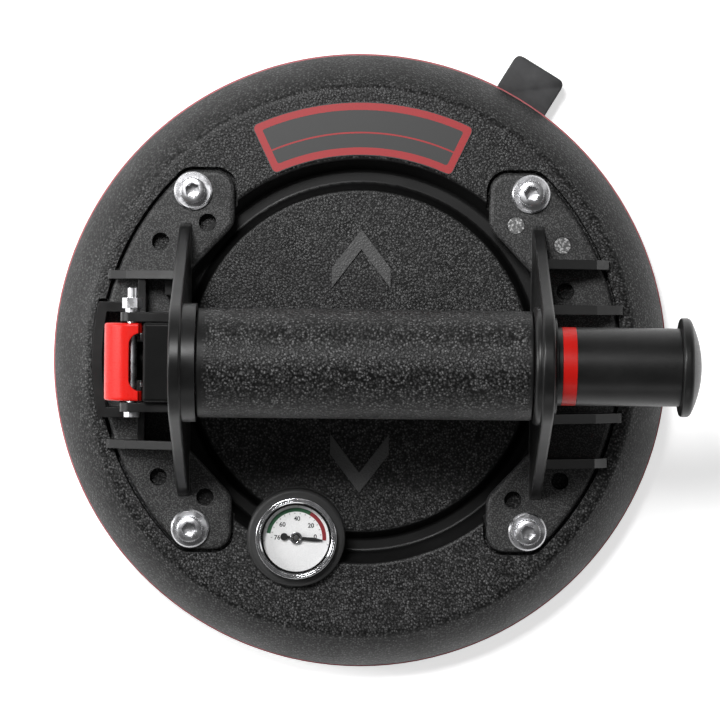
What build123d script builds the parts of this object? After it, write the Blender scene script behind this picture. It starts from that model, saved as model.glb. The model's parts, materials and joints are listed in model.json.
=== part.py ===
from build123d import *
from math import asin, cos, degrees, pi, radians, sin, sqrt
import os

# Hand-pumped vacuum suction cup, in millimetres.
# The cup's axis is +Z and the lip's sealing plane is Z = 0. The handle lies along X.
# The pump plunger leaves the handle towards +X, the release lever is at the -X end.

os.makedirs("parts", exist_ok=True)

# ---------------------------------------------------------------------------
# Fits and clearances
# ---------------------------------------------------------------------------
fit_gap = 0.05  # radial gap of a piece seated in another
run_gap = 0.06  # radial gap of a shaft or piston that moves
face_gap = 0.05  # gap between two faces that rest on each other
stop_gap = 0.10  # gap at the end stop of a moving piece
side_gap = 0.50  # gap on each side of the lever between its ears
foot_gap = 0.90  # joint line round a bracket foot in its recess

# ---------------------------------------------------------------------------
# Base plate
# ---------------------------------------------------------------------------
plate_bottom = 10.0  # height of the plate's underside above the sealing plane
plate_radius = 99.2
plate_height = 16.0
plate_edge = 2.6  # height of the upright rim edge
slope_width = 11.2  # outer slope, between the rim edge and the raised ring
slope_bulge = 1.0  # how far the slope swells outwards
ring_width = 23.0  # flat top of the raised ring
ring_lean = 3.0  # how far the ring's inner wall leans in towards the groove floor
groove_width = 4.5
groove_height = 5.0  # groove floor above the underside
centre_lean = 2.3
centre_height = 11.0  # flat centre above the underside
edge_fillet = 1.0
shoulder_fillet = 4.0
groove_fillet = 1.3
cavity_depth = 7.0  # hollows under the plate
ring_cavity_margin = 4.0  # solid left inside the raised ring's inner edge
slope_cavity_margin = 8.2  # solid left inside the rim
centre_cavity_inner = 16.0
centre_cavity_margin = 3.7
ring_rib_count = 12
centre_rib_count = 8
plate_rib = 3.0
insert_boss = 7.5  # radius of solid plate kept round each insert
chevron_margin = 12.7  # from the edge of the plate's centre to the tip of each plain chevron
chevron_half_width = 9.5
chevron_length = 19.0
chevron_band = 6.5
chevron_height = 0.7

# ---------------------------------------------------------------------------
# Rubber pad, its edge ring and its clamp
# ---------------------------------------------------------------------------
rim_overhang = 0.8  # how far the rubber stands out past the plate
web_thickness = 3.0
edge_ring_height = 1.6
edge_ring_width = 4.35
edge_ring_inset = 0.15
lip_foot_height = 3.8  # height of the knee above the sealing foot
lip_waist_height = 3.4
lip_shoulder_height = 6.0
lip_reach = 16.0  # from the rim to where the lip leaves the flat web
lip_knee_reach = 4.8
lip_foot_reach = 2.8
lip_edge_reach = 0.7
lip_waist_reach = 0.5
lip_knee_fillet = 3.4
lip_root_fillet = 6.0
bead_radii = (48.0, 72.0)
bead_size = 1.0
cup_hole = 3.0  # air hole through the pad under the valve block
tab_angle = 58.8
tab_width = 18.3
tab_reach = 12.3
tab_root = 3.0
tab_bottom = 4.4
tab_thickness = 3.2
tab_corner = 2.6
clamp_radius = 22.0
clamp_thickness = 1.5
pad_screw_radius = 3.0
pad_screw_head = 6.0
pad_screw_length = 8.6

# ---------------------------------------------------------------------------
# Handle, pump cylinder and plunger, along the handle axis
# ---------------------------------------------------------------------------
axis_height = 76.0
wall_inset = 44.6  # from the plate's rim to the inner face of each bracket wall
wall_thickness = 3.9
cylinder_bore = 13.0  # radius
cylinder_wall = 1.5
hub_margin = 3.75  # hub outside the cylinder
hub_length = 4.2
pump_hub_length = 2.2
hub_fillet = 1.6
arch_margin = 0.95  # top of the bracket wall outside the hub
grip_gap = 0.1
grip_wall = 2.15
grip_fillet = 0.8
stroke = 34.0
plunger_margin = 1.0  # plunger rod smaller than the bore
plunger_wall = 2.0
plunger_web = 3.0
plunger_boss = 4.5
plunger_boss_length = 8.0
bush_length = 8.5  # inside the cylinder
bush_flange_lap = 1.8
bush_flange = 1.0
vent_radius = 0.6
vent_count = 3
knob_margin = 3.2
knob_clearance = 3.95  # left between knob and bush with the plunger pushed in
knob_rim = 2.9
knob_dome = 3.8
knob_fillet = 1.6
knob_spigot_length = 9.5
knob_spigot_wall = 2.45
indicator_offset = 2.7  # from the bracket's outer face
indicator_width = 4.4
indicator_depth = 0.7

# Piston
piston_length = 14.0
pocket_margin = 1.3
pocket_width = 3.3
pocket_depth = 5.0
seal_groove_start = 7.0
seal_groove_width = 3.4
seal_groove_depth = 2.4
seal_notch = 1.2
piston_screw_radius = 2.0
piston_screw_head = 3.6
piston_screw_head_height = 2.6
piston_screw_length = 18.0
piston_clearance = 2.8  # left between screw head and valve cage at full stroke

# Cylinder head and inlet check valve
head_thickness = 8.2
head_spigot = 4.0
duct_radius = 2.0
head_groove_width = 2.8
head_groove_depth = 2.1
nozzle_radius = 4.9
nozzle_length = 1.5
check_radius = 4.4
check_thickness = 1.2
check_lift = 1.0
check_spring_closed = 1.1  # length of the check spring with the disc lifted
cage_wall = 1.5
cage_port_radius = 1.1
cage_port_circle = 3.0
cage_ports = 5

# Springs, with the radius of the coil and of the wire
pump_spring_wire = 0.7
pump_spring_turns = 8
valve_spring_radius = 2.6
valve_spring_wire = 0.35
valve_spring_turns = 3
check_spring_radius = 2.6
check_spring_wire = 0.18
check_spring_turns = 2

# ---------------------------------------------------------------------------
# Brackets
# ---------------------------------------------------------------------------
foot_thickness = 4.4
foot_margin = 4.8  # from the foot's outer arc to the ring's shoulder
foot_half_width = 61.0
foot_reach = 13.7  # from the wall to the foot's inner edge
foot_slant_wide = 43.5  # half-width where the inner edge starts to slant
foot_slant_narrow = 29.0  # half-width where the slant meets the wall
foot_corner = 6.0
arch_screw_gap = 10.2  # from the wall's sides, at the foot, to the bracket screws
wall_fillet = 0.8
screw_edge = 6.55  # bracket screws inside the foot's outer arc
screw_side = 6.8  # bracket screws inside the foot's sides
screw_hole_gap = 0.2
core_hole_radius = 2.8
inner_hole_gap = 5.1  # inner core hole, from the wall's inner face
inner_hole_side = 44.1
outer_hole_gap = 6.0  # outer core hole, from the wall's outer face
outer_hole_rib_gap = 6.1  # outer core hole, from the outer rib
floor_hole_gap = 7.0  # hole in the foot's floor, from the wall's outer face
floor_hole_rib_gap = 5.7  # hole in the foot's floor, from the inner rib
rib_root = 1.0  # how deep ribs run into the wall and foot
rib_shelf = 16.5  # from the wall to where a rib's top turns down
rib_shelf_share = 0.5
rib_end_height = 2.0
rib_edge_gap = 0.6
rib_lap = 2.8  # how far a rib laps over the ring, past the foot's outer arc

pump_rib_thickness = 3.0
pump_rib_inner = 17.3
pump_rib_inner_height = 22.0
pump_rib_outer = 31.7
pump_rib_outer_height = 16.0

valve_rib = 27.1
valve_rib_thickness = 2.8
valve_rib_height = 16.0
ear_inner = 12.4
ear_thickness = 2.8
ear_margin = 2.1  # ear outside the pivot bolt's hole
ear_length = 18.0  # from the wall, at the foot
guard_reach = 2.2  # how far the guard stands out past the foot
guard_wall = 3.2
guard_height = 11.0
guard_length = 13.4
web_place = 10.1  # cross webs, from the wall
web_width = 2.4
web_height = 9.0
shelf_height = 7.0
shelf_depth = 4.0
shelf_width = 5.0

# ---------------------------------------------------------------------------
# Fasteners and pins
# ---------------------------------------------------------------------------
washer_radius = 6.15
washer_thickness = 1.5
washer_bevel = 0.5
screw_radius = 2.5
screw_head = 4.2
screw_head_height = 4.4
screw_head_bevel = 0.4
screw_socket = 2.3  # radius to the corners of the hexagon
screw_socket_depth = 2.6
screw_length = 13.0
insert_wall = 0.95
insert_length = 8.5
pin_stem = 1.9
pin_depth = 2.5
pin_proud = 0.3

# ---------------------------------------------------------------------------
# Valve block, release valve and lever. Distances run from the middle to -X.
# ---------------------------------------------------------------------------
block_thickness = 8.0
block_side_gap = 0.3
block_rise = 7.0  # above the handle axis
block_fillet = 1.0
block_screw_height = 15.0  # above the foot
block_screw_spread = 8.0
block_screw_radius = 1.5
block_screw_head = 2.75
block_screw_head_height = 3.0
block_screw_socket = 1.4
block_screw_length = 11.5
duct_offset = 3.85  # vertical duct, from the block's inner face
port_radius = 2.5
port_boss = 7.0
grommet_radius = 4.3
grommet_depth = 4.6
filter_radius = 4.0
filter_thickness = 2.0
spigot_seal_thickness = 1.05

nose_drop = 16.0  # from the lever's pivot down to the valve's axis
chamber_radius = 4.0
chamber_wall = 1.15
seat_flange = 6.0
seat_spigot = 5.0
seat_spigot_length = 1.5
seat_length = 4.1
seat_wall = 1.5
stem_radius = 1.5
stem_play = 0.3
stem_reach = 4.0  # how far the stem stands out of its seat
poppet_radius = 3.5
poppet_thickness = 1.6
valve_seal_radius = 3.3
valve_seal_thickness = 0.7
stem_tail = 1.2
stem_tail_room = 0.6  # left behind the stem with the lever pressed

pivot_offset = 3.65  # from the block's outer face to the pivot
pivot_radius = 1.5
pivot_head = 2.4
pivot_head_height = 1.6
pivot_socket = 1.2
nut_size = 2.75  # half the width across flats
nut_height = 3.2
nut_collar_radius = 2.2
nut_collar = 1.2
pivot_thread_out = 3.0
lever_travel = 12.0  # degrees
lever_lug = 3.1
lever_cheek = 3.0
lever_rise = 4.0  # top of the lever above the pivot
lever_reach = 8.8  # outer face of the lever outside the pivot
lever_skin = 2.4
lever_bend = 8.4
lever_tail = 2.2  # lever below the valve's axis
lever_draft = 0.6
lever_window = 0.8
lever_corner = 3.6
lever_edge_fillet = 0.8
cheek_back = -2.1  # cheek outline, from the pivot
cheek_shoulder = -2.4
cheek_waist_out = 2.2
cheek_waist_drop = 8.0
cheek_foot = 4.7
nose_radius = 1.6
nose_width = 5.0

# ---------------------------------------------------------------------------
# Label and gauge
# ---------------------------------------------------------------------------
label_margin = 1.1  # from the ring's inner edge
label_half_angle = 25.4
label_thickness = 0.5
label_corner = 1.8

gauge_x = -20.0
gauge_inset = 42.5  # from the plate's rim to the gauge's centre
boss_margin = 3.0  # boss wall round the gauge's well
boss_fillet = 1.2
boss_drop = 1.5  # boss below the case's rim
well_gap = 0.2
well_depth = 7.0  # well floor above the plate's underside
gasket_thickness = 0.8
gasket_width = 3.15
case_radius = 12.5
case_wall = 0.7
bezel_wall = 0.4
bezel_lip = 1.6
bezel_lip_height = 1.2
lens_thickness = 0.9
dial_gap = 0.3
dial_thickness = 0.4
needle_thickness = 0.3
needle_hub = 1.9
needle_length = 8.4
needle_shoulder = 5.6  # where the pointer starts to taper
needle_tail = 3.9
needle_weight = 1.2  # radius of the counterweight on the tail
needle_stem = 0.45
needle_width = 0.65
needle_tip = 0.2
needle_rest = -5.0  # degrees, from +X
arbor_radius = 0.5
arbor_end = 0.2
hand_room = 0.7  # between dial and needle
lens_room = 1.0  # between needle and lens
gear_module = 0.2
pinion_teeth = 12
sector_ratio = 5
sector_travel = 35.0  # degrees
gear_thickness = 0.9
gear_room_low = 1.2
gear_room_high = 1.1
tooth_addendum = 0.17
tooth_dedendum = 0.25
tooth_play = 0.08
tooth_taper = 0.07
sector_spare_teeth = 1
sector_hub = 1.3
tail_length = 3.3
tail_half_width = 0.5
tail_pin = 0.35
link_thickness = 0.4
link_half_width = 0.5
movement_plate = 0.8
movement_half_width = 2.6
movement_post = 0.8
movement_front = 3.2  # post in front of the needle's axis
movement_back = 2.7  # post behind the sector's pivot
movement_gap = 1.2  # over the Bourdon tube
movement_margin = 1.2
dial_post = 0.6
tube_radius = 9.6
tube_width = 1.1
tube_height = 2.6
tube_lift = 0.8
tube_sweep = 250.0
tube_root = -70.0
tip_post = 0.4
socket_radius = 4.8
socket_recess = 0.4
socket_bore = 1.2
socket_arm = 1.7

# ---------------------------------------------------------------------------
# Derived radii and heights of the plate and pad
# ---------------------------------------------------------------------------
edge_top = plate_bottom + plate_edge
ring_top = plate_bottom + plate_height
shoulder_radius = plate_radius - slope_width
ring_inner = shoulder_radius - ring_width
groove_outer = ring_inner - ring_lean
groove_inner = groove_outer - groove_width
groove_floor = plate_bottom + groove_height
centre_radius = groove_inner - centre_lean
centre_top = plate_bottom + centre_height
chevron_tip = centre_radius - chevron_margin
ring_cavity_inner = ring_inner + ring_cavity_margin
ring_cavity_outer = plate_radius - slope_cavity_margin
centre_cavity_outer = centre_radius - centre_cavity_margin
rim_radius = plate_radius + rim_overhang
edge_ring_outer = rim_radius - edge_ring_inset
edge_ring_inner = edge_ring_outer - edge_ring_width
web_bottom = plate_bottom - web_thickness
rim_top = plate_bottom - edge_ring_height - face_gap
clamp_bottom = web_bottom - clamp_thickness

# Derived sizes of the handle, pump and plunger
wall_inner = plate_radius - wall_inset
wall_outer = wall_inner + wall_thickness
cylinder_outer = cylinder_bore + cylinder_wall
cylinder_end = wall_inner - stop_gap
hub_radius = cylinder_outer + hub_margin
hub_face = wall_inner - hub_length
pump_hub_face = wall_inner - pump_hub_length
arch_radius = hub_radius + arch_margin
grip_inner = cylinder_outer + grip_gap
plunger_radius = cylinder_bore - plunger_margin
plunger_bore = plunger_radius - plunger_wall
bush_face = cylinder_end - bush_length
bush_outer = cylinder_bore - fit_gap
bush_end = wall_outer + face_gap + bush_flange
knob_face = bush_end + stroke + knob_clearance
knob_radius = plunger_radius + knob_margin
indicator_start = wall_outer + indicator_offset
head_start = face_gap - wall_inner
head_face = head_start + head_thickness
check_start = head_face + nozzle_length + face_gap
check_end = check_start + check_thickness
cage_inside = check_end + check_lift + check_spring_closed
cage_end = cage_inside + cage_wall
piston_face = cage_end + piston_clearance + piston_screw_head_height + stroke
piston_end = piston_face + piston_length
pocket_outer = cylinder_bore - pocket_margin
pocket_inner = pocket_outer - pocket_width

# Derived sizes of the brackets and the valve end
foot_top = ring_top
foot_bottom = ring_top - foot_thickness
foot_outer = shoulder_radius - foot_margin
foot_inner = wall_inner - foot_reach
foot_end = sqrt(foot_outer**2 - foot_half_width**2)
foot_end_corner = min(foot_corner, (foot_end - foot_inner) / 2)
screw_y = foot_half_width - screw_side
screw_x = sqrt((foot_outer - screw_edge) ** 2 - screw_y**2)
arch_half_width = screw_y - arch_screw_gap
core_holes = (
    (wall_inner - inner_hole_gap, inner_hole_side),
    (wall_outer + outer_hole_gap, pump_rib_outer + outer_hole_rib_gap),
)
floor_hole = (wall_outer + floor_hole_gap, pump_rib_inner + floor_hole_rib_gap)
ear_outer = ear_inner + ear_thickness
guard_outer = foot_outer + guard_reach
guard_half_width = ear_outer + guard_wall
insert_radius = screw_radius + fit_gap + insert_wall
pin_radius = core_hole_radius - 2 * fit_gap
block_face = wall_outer + face_gap
block_outer = block_face + block_thickness
block_half_width = ear_inner - block_side_gap
block_bottom = foot_top + face_gap
block_top = axis_height + block_rise
duct_place = block_face + duct_offset
port_centre = (-duct_place, 0)
grommet_seat = foot_bottom - grommet_depth
valve_height = axis_height - nose_drop
seat_end = block_outer + seat_length
seat_inside = seat_end - seat_wall
stem_tip = seat_end + stem_reach
pivot_place = block_outer + pivot_offset
lever_half_width = ear_inner - side_gap
lever_top = axis_height + lever_rise
lever_face = pivot_place + lever_reach
lever_bottom = valve_height - lever_tail
nose_place = stem_tip + stop_gap + nose_radius
lever_angle = radians(lever_travel)
stem_stroke = (nose_place - pivot_place) * (1 - cos(lever_angle)) + nose_drop * sin(lever_angle)
screw_places = [(x, y) for x in (-screw_x, screw_x) for y in (-screw_y, screw_y)]
screw_seat = foot_top + washer_thickness + 2 * face_gap

# Derived places of the gauge, from its well upwards
gauge_y = gauge_inset - plate_radius
gauge_centre = (gauge_x, gauge_y)
well_radius = case_radius + well_gap
well_floor = plate_bottom + well_depth
case_bottom = well_floor + gasket_thickness + 2 * face_gap
case_floor = case_bottom + case_wall
tube_level = case_floor + tube_lift
movement_low = tube_level + tube_height + movement_gap
gear_height = movement_low + movement_plate + gear_room_low
movement_high = gear_height + gear_thickness + gear_room_high
dial_height = movement_high + movement_plate + dial_post
needle_height = dial_height + dial_thickness + hand_room
case_top = needle_height + needle_thickness + lens_room
boss_top = case_top - boss_drop
boss_radius = well_radius + boss_margin
lens_bottom = case_top + face_gap
bezel_outer = case_radius + fit_gap + bezel_wall
bezel_bottom = boss_top + stop_gap
bezel_top = lens_bottom + lens_thickness + face_gap + bezel_lip_height
pinion_pitch = gear_module * pinion_teeth / 2
sector_pitch = pinion_pitch * sector_ratio
sector_teeth = pinion_teeth * sector_ratio
sector_pivot = pinion_pitch + sector_pitch  # behind the needle's axis
handle_axis = Axis((0, 0, axis_height), (1, 0, 0))


# ---------------------------------------------------------------------------
# Planes, points and repeated shapes
# ---------------------------------------------------------------------------
def across(x, z=axis_height):
    """Plane across the handle: its own X is +Y, its Y is +Z and its normal is +X."""
    return Plane(origin=(x, 0, z), x_dir=(0, 1, 0), z_dir=(1, 0, 0))


def outboard(distance, z=axis_height):
    """Plane across the -X end at a distance from the middle: normal -X, own X -Y, own Y +Z."""
    return Plane(origin=(-distance, 0, z), x_dir=(0, -1, 0), z_dir=(-1, 0, 0))


def level(z, centre=(0, 0)):
    """Horizontal plane at height z."""
    return Plane(origin=(*centre, z), x_dir=(1, 0, 0), z_dir=(0, 0, 1))


def lengthwise(z=axis_height, y=0.0):
    """Plane along the handle: its own X is +X, its Y is height above z and its normal is -Y."""
    return Plane(origin=(0, y, z), x_dir=(1, 0, 0), z_dir=(0, -1, 0))


def left_side(z=0.0, y=0.0):
    """Plane along the -X end: its own X is the distance to -X, its Y is height, its normal +Y."""
    return Plane(origin=(0, y, z), x_dir=(-1, 0, 0), z_dir=(0, 1, 0))


def corner(sketch, x, y):
    """The sketch's vertex nearest to a point."""
    return sketch.vertices().sort_by_distance((x, y))[0]


def polar(radius, angle):
    """Point at a radius and an angle in degrees."""
    return (radius * cos(radians(angle)), radius * sin(radians(angle)))


def ring_face(outer, inner):
    """Flat ring, centred on the current plane."""
    with BuildSketch() as ring:
        Circle(outer)
        Circle(inner, mode=Mode.SUBTRACT)
    return ring.sketch


def outline(points):
    """Closed flat face through straight-line points."""
    with BuildSketch() as face:
        with BuildLine():
            Polyline(*points, close=True)
        make_face()
    return face.sketch


def coil(radius, wire, turns, start, end, height):
    """Round-wire spring along X, with its outermost points at start and end."""
    rise = end - start - 2 * wire
    with BuildPart() as spring:
        with BuildLine() as path:
            Helix(
                pitch=rise / turns,
                height=rise,
                radius=radius,
                center=(start + wire, 0, height),
                direction=(1, 0, 0),
            )
        with BuildSketch(Plane(origin=path.line @ 0, z_dir=path.line % 0)):
            Circle(wire)
        sweep(is_frenet=True)
    return spring.part


def gear_teeth(pitch_radius, count, angles):
    """Straight-flanked teeth at the given angles, reaching into the gear's root circle."""
    half_pitch = (pi * gear_module / 2 - tooth_play) / 2
    half_tip = half_pitch - tooth_taper
    half_root = half_pitch + tooth_taper
    root = pitch_radius - tooth_dedendum - tooth_taper
    tip = pitch_radius + tooth_addendum
    with BuildSketch() as teeth:
        with PolarLocations(0, len(angles), start_angle=angles[0], angular_range=360 * len(angles) / count):
            add(outline([(root, -half_root), (tip, -half_tip), (tip, half_tip), (root, half_root)]))
    return teeth.sketch


# ---------------------------------------------------------------------------
# Plans shared by the brackets and the recesses that hold their feet
# ---------------------------------------------------------------------------
with BuildSketch() as pump_foot:
    with BuildLine():
        Polyline(
            (wall_inner, foot_slant_narrow),
            (foot_inner, foot_slant_wide),
            (foot_inner, foot_half_width),
            (foot_end, foot_half_width),
        )
        ThreePointArc((foot_end, foot_half_width), (foot_outer, 0), (foot_end, -foot_half_width))
        Polyline(
            (foot_end, -foot_half_width),
            (foot_inner, -foot_half_width),
            (foot_inner, -foot_slant_wide),
            (wall_inner, -foot_slant_narrow),
            (wall_inner, foot_slant_narrow),
        )
    make_face()
    for side in (1, -1):
        fillet(corner(pump_foot, foot_inner, side * foot_slant_wide), foot_corner)
        fillet(corner(pump_foot, foot_inner, side * foot_half_width), foot_end_corner)
        fillet(corner(pump_foot, foot_end, side * foot_half_width), foot_end_corner)

guard_start = guard_outer - guard_length
with BuildSketch() as guard_plan:
    Circle(guard_outer)
    with Locations((guard_start, 0)):
        Rectangle(guard_length, 2 * guard_half_width, align=(Align.MIN, Align.CENTER), mode=Mode.INTERSECT)

with BuildSketch() as guard_hollow:
    Circle(guard_outer - guard_wall)
    with Locations((guard_start, 0)):
        Rectangle(guard_length, 2 * ear_outer, align=(Align.MIN, Align.CENTER), mode=Mode.INTERSECT)

with BuildSketch() as valve_foot:
    add(pump_foot.sketch)
    add(guard_plan.sketch)

with BuildSketch() as recess_plan:
    add(pump_foot.sketch)
    add(mirror(valve_foot.sketch, about=Plane.YZ))
    offset(amount=foot_gap)

# ---------------------------------------------------------------------------
# Base plate: a moulded disc with a raised ring, a groove and a flat centre
# ---------------------------------------------------------------------------
slope_rise = ring_top - edge_top
slope_length = sqrt(slope_width**2 + slope_rise**2)
slope_middle = (
    (plate_radius + shoulder_radius) / 2 + slope_bulge * slope_rise / slope_length,
    (edge_top + ring_top) / 2 + slope_bulge * slope_width / slope_length,
)

with BuildPart() as base_plate:
    with BuildSketch(Plane.XZ) as plate_section:
        with BuildLine():
            Polyline(
                (0, centre_top),
                (0, plate_bottom),
                (plate_radius, plate_bottom),
                (plate_radius, edge_top),
            )
            ThreePointArc((plate_radius, edge_top), slope_middle, (shoulder_radius, ring_top))
            Polyline(
                (shoulder_radius, ring_top),
                (ring_inner, ring_top),
                (groove_outer, groove_floor),
                (groove_inner, groove_floor),
                (centre_radius, centre_top),
                (0, centre_top),
            )
        make_face()
        fillet(corner(plate_section, plate_radius, edge_top), edge_fillet)
        fillet(corner(plate_section, shoulder_radius, ring_top), shoulder_fillet)
        for place in (
            (ring_inner, ring_top),
            (groove_outer, groove_floor),
            (groove_inner, groove_floor),
            (centre_radius, centre_top),
        ):
            fillet(corner(plate_section, *place), groove_fillet)
    revolve(axis=Axis.Z)

    # Boss round the gauge and solid seat under the valve block's port
    with BuildSketch(level(plate_bottom, gauge_centre)):
        Circle(boss_radius)
    extrude(amount=boss_top - plate_bottom)
    gauge_rim = base_plate.faces().filter_by(Plane.XY).sort_by(Axis.Z)[-1].edges()
    fillet(gauge_rim, boss_fillet)
    with BuildSketch(level(plate_bottom, port_centre)):
        Circle(port_boss)
    extrude(amount=foot_bottom - plate_bottom)

    # Recesses that hold the bracket feet
    with BuildSketch(level(foot_bottom)):
        add(recess_plan.sketch)
    extrude(amount=2 * foot_thickness, mode=Mode.SUBTRACT)

    # Hollows under the raised ring and under the centre, divided by ribs
    with BuildSketch(level(plate_bottom)):
        add(ring_face(ring_cavity_outer, ring_cavity_inner))
        with PolarLocations((ring_cavity_inner + ring_cavity_outer) / 2, ring_rib_count):
            Rectangle(2 * (ring_cavity_outer - ring_cavity_inner), plate_rib, mode=Mode.SUBTRACT)
        add(ring_face(centre_cavity_outer, centre_cavity_inner))
        with PolarLocations((centre_cavity_inner + centre_cavity_outer) / 2, centre_rib_count):
            Rectangle(centre_cavity_outer, plate_rib, mode=Mode.SUBTRACT)
        with Locations(*screw_places):
            Circle(insert_boss, mode=Mode.SUBTRACT)
        with Locations(gauge_centre):
            Circle(boss_radius, mode=Mode.SUBTRACT)
        with Locations(port_centre):
            Circle(port_boss, mode=Mode.SUBTRACT)
    extrude(amount=cavity_depth, mode=Mode.SUBTRACT)

    # Plain chevrons on the centre, pointing away from the handle on both sides
    chevron_foot = chevron_tip - chevron_length
    with BuildSketch(level(centre_top)):
        for side in (1, -1):
            with BuildLine():
                Polyline(
                    (0, side * chevron_tip),
                    (chevron_half_width, side * (chevron_foot + chevron_band)),
                    (chevron_half_width, side * chevron_foot),
                    (0, side * (chevron_tip - chevron_band)),
                    (-chevron_half_width, side * chevron_foot),
                    (-chevron_half_width, side * (chevron_foot + chevron_band)),
                    close=True,
                )
            make_face()
    extrude(amount=chevron_height)

    # Gauge well and its threaded port
    with BuildSketch(level(well_floor, gauge_centre)):
        Circle(well_radius)
    extrude(amount=boss_top, mode=Mode.SUBTRACT)
    with BuildSketch(level(plate_bottom, gauge_centre)):
        Circle(socket_radius + fit_gap)
    extrude(amount=well_depth, mode=Mode.SUBTRACT)

    # Air port under the valve block, with seats for its filter and grommet
    with BuildSketch(level(plate_bottom, port_centre)):
        Circle(port_radius)
    extrude(amount=foot_bottom - plate_bottom, mode=Mode.SUBTRACT)
    with BuildSketch(level(plate_bottom, port_centre)):
        Circle(filter_radius + fit_gap)
    extrude(amount=filter_thickness + 2 * face_gap, mode=Mode.SUBTRACT)
    with BuildSketch(level(grommet_seat, port_centre)):
        Circle(grommet_radius + fit_gap)
    extrude(amount=grommet_depth, mode=Mode.SUBTRACT)

    # Holes for the inserts, the locating pins and the pad screw
    with BuildSketch(level(foot_bottom)):
        with Locations(*screw_places):
            Circle(insert_radius + fit_gap)
    extrude(amount=-(insert_length + 2 * face_gap), mode=Mode.SUBTRACT)
    with BuildSketch(level(foot_bottom)):
        with Locations(*core_holes):
            Circle(pin_stem + fit_gap)
    extrude(amount=-(pin_depth + face_gap), mode=Mode.SUBTRACT)
    with BuildSketch(level(plate_bottom)):
        Circle(pad_screw_radius + fit_gap)
    extrude(amount=pad_screw_length - web_thickness, mode=Mode.SUBTRACT)
base_plate.part.label = "base_plate"
export_step(base_plate.part, "parts/base_plate.step")

# ---------------------------------------------------------------------------
# Rubber pad with its sealing lip and pull tab
# ---------------------------------------------------------------------------
tab_plane = Plane(
    origin=(0, 0, tab_bottom),
    x_dir=(cos(radians(tab_angle)), sin(radians(tab_angle)), 0),
    z_dir=(0, 0, 1),
)
lip_knee = (rim_radius - lip_knee_reach, lip_foot_height)

with BuildPart() as rubber_cup:
    with BuildSketch(Plane.XZ) as pad_section:
        with BuildLine():
            Polyline(
                (pad_screw_radius + fit_gap, plate_bottom - face_gap),
                (pad_screw_radius + fit_gap, web_bottom),
                (rim_radius - lip_reach, web_bottom),
                lip_knee,
                (rim_radius - lip_foot_reach, 0),
                (rim_radius - lip_edge_reach, 0),
                (rim_radius - lip_waist_reach, lip_waist_height),
                (rim_radius, lip_shoulder_height),
                (rim_radius, rim_top),
                (edge_ring_inner - face_gap, rim_top),
                (edge_ring_inner - face_gap, plate_bottom - face_gap),
                close=True,
            )
        make_face()
        fillet(corner(pad_section, rim_radius - lip_reach, web_bottom), lip_root_fillet)
        fillet(corner(pad_section, *lip_knee), lip_knee_fillet)
        with Locations(*[(radius, web_bottom) for radius in bead_radii]):
            Circle(bead_size)
    revolve(axis=Axis.Z)
    with BuildSketch(tab_plane) as tab_plan:
        with Locations((rim_radius - tab_root, 0)):
            Rectangle(tab_root + tab_reach, tab_width, align=(Align.MIN, Align.CENTER))
        tab_corners = tab_plan.vertices().filter_by_position(Axis.X, rim_radius, 2 * rim_radius)
        fillet(tab_corners, tab_corner)
    extrude(amount=tab_thickness)
    with BuildSketch(level(web_bottom - bead_size)):
        with Locations(port_centre):
            Circle(cup_hole)
        with Locations(gauge_centre):
            Circle(socket_bore + socket_recess)
    extrude(amount=web_thickness + 2 * bead_size, mode=Mode.SUBTRACT)
rubber_cup.part.label = "rubber_cup"
export_step(rubber_cup.part, "parts/rubber_cup.step")

with BuildPart() as edge_ring:
    with BuildSketch(level(plate_bottom - edge_ring_height)):
        add(ring_face(edge_ring_outer, edge_ring_inner))
    extrude(amount=edge_ring_height - face_gap)
edge_ring.part.label = "edge_ring"
export_step(edge_ring.part, "parts/edge_ring.step")

with BuildPart() as pad_clamp_disc:
    with BuildSketch(level(clamp_bottom)):
        Circle(clamp_radius)
    extrude(amount=clamp_thickness - face_gap)
    fillet(pad_clamp_disc.edges().sort_by(Axis.Z)[0], clamp_thickness / 2)
    with BuildSketch(Plane.XZ):
        with BuildLine():
            Polyline(
                (0, clamp_bottom),
                (pad_screw_head + fit_gap, clamp_bottom),
                (pad_screw_radius + fit_gap, web_bottom),
                (0, web_bottom),
                close=True,
            )
        make_face()
    revolve(axis=Axis.Z, mode=Mode.SUBTRACT)
pad_clamp_disc.part.label = "pad_clamp_disc"
export_step(pad_clamp_disc.part, "parts/pad_clamp_disc.step")

with BuildPart() as pad_screw:
    with BuildSketch(Plane.XZ):
        with BuildLine():
            Polyline(
                (0, clamp_bottom),
                (pad_screw_head, clamp_bottom),
                (pad_screw_radius, web_bottom - face_gap),
                (pad_screw_radius, web_bottom + pad_screw_length - face_gap),
                (0, web_bottom + pad_screw_length - face_gap),
                close=True,
            )
        make_face()
    revolve(axis=Axis.Z)
    with BuildSketch(level(clamp_bottom)):
        RegularPolygon(screw_socket, 6)
    extrude(amount=clamp_thickness, mode=Mode.SUBTRACT)
pad_screw.part.label = "pad_screw"
export_step(pad_screw.part, "parts/pad_screw.step")

# ---------------------------------------------------------------------------
# Label plate on the ring, left plain
# ---------------------------------------------------------------------------
with BuildPart() as label_plate:
    with BuildSketch(level(ring_top)) as label_plan:
        add(ring_face(foot_outer, ring_inner + label_margin))
        with BuildLine():
            Polyline(
                (0, 0),
                polar(2 * foot_outer, 90 - label_half_angle),
                polar(2 * foot_outer, 90 + label_half_angle),
                close=True,
            )
        make_face(mode=Mode.INTERSECT)
        fillet(label_plan.vertices(), label_corner)
    extrude(amount=label_thickness)
label_plate.part.label = "label_plate"
export_step(label_plate.part, "parts/label_plate.step")

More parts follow.
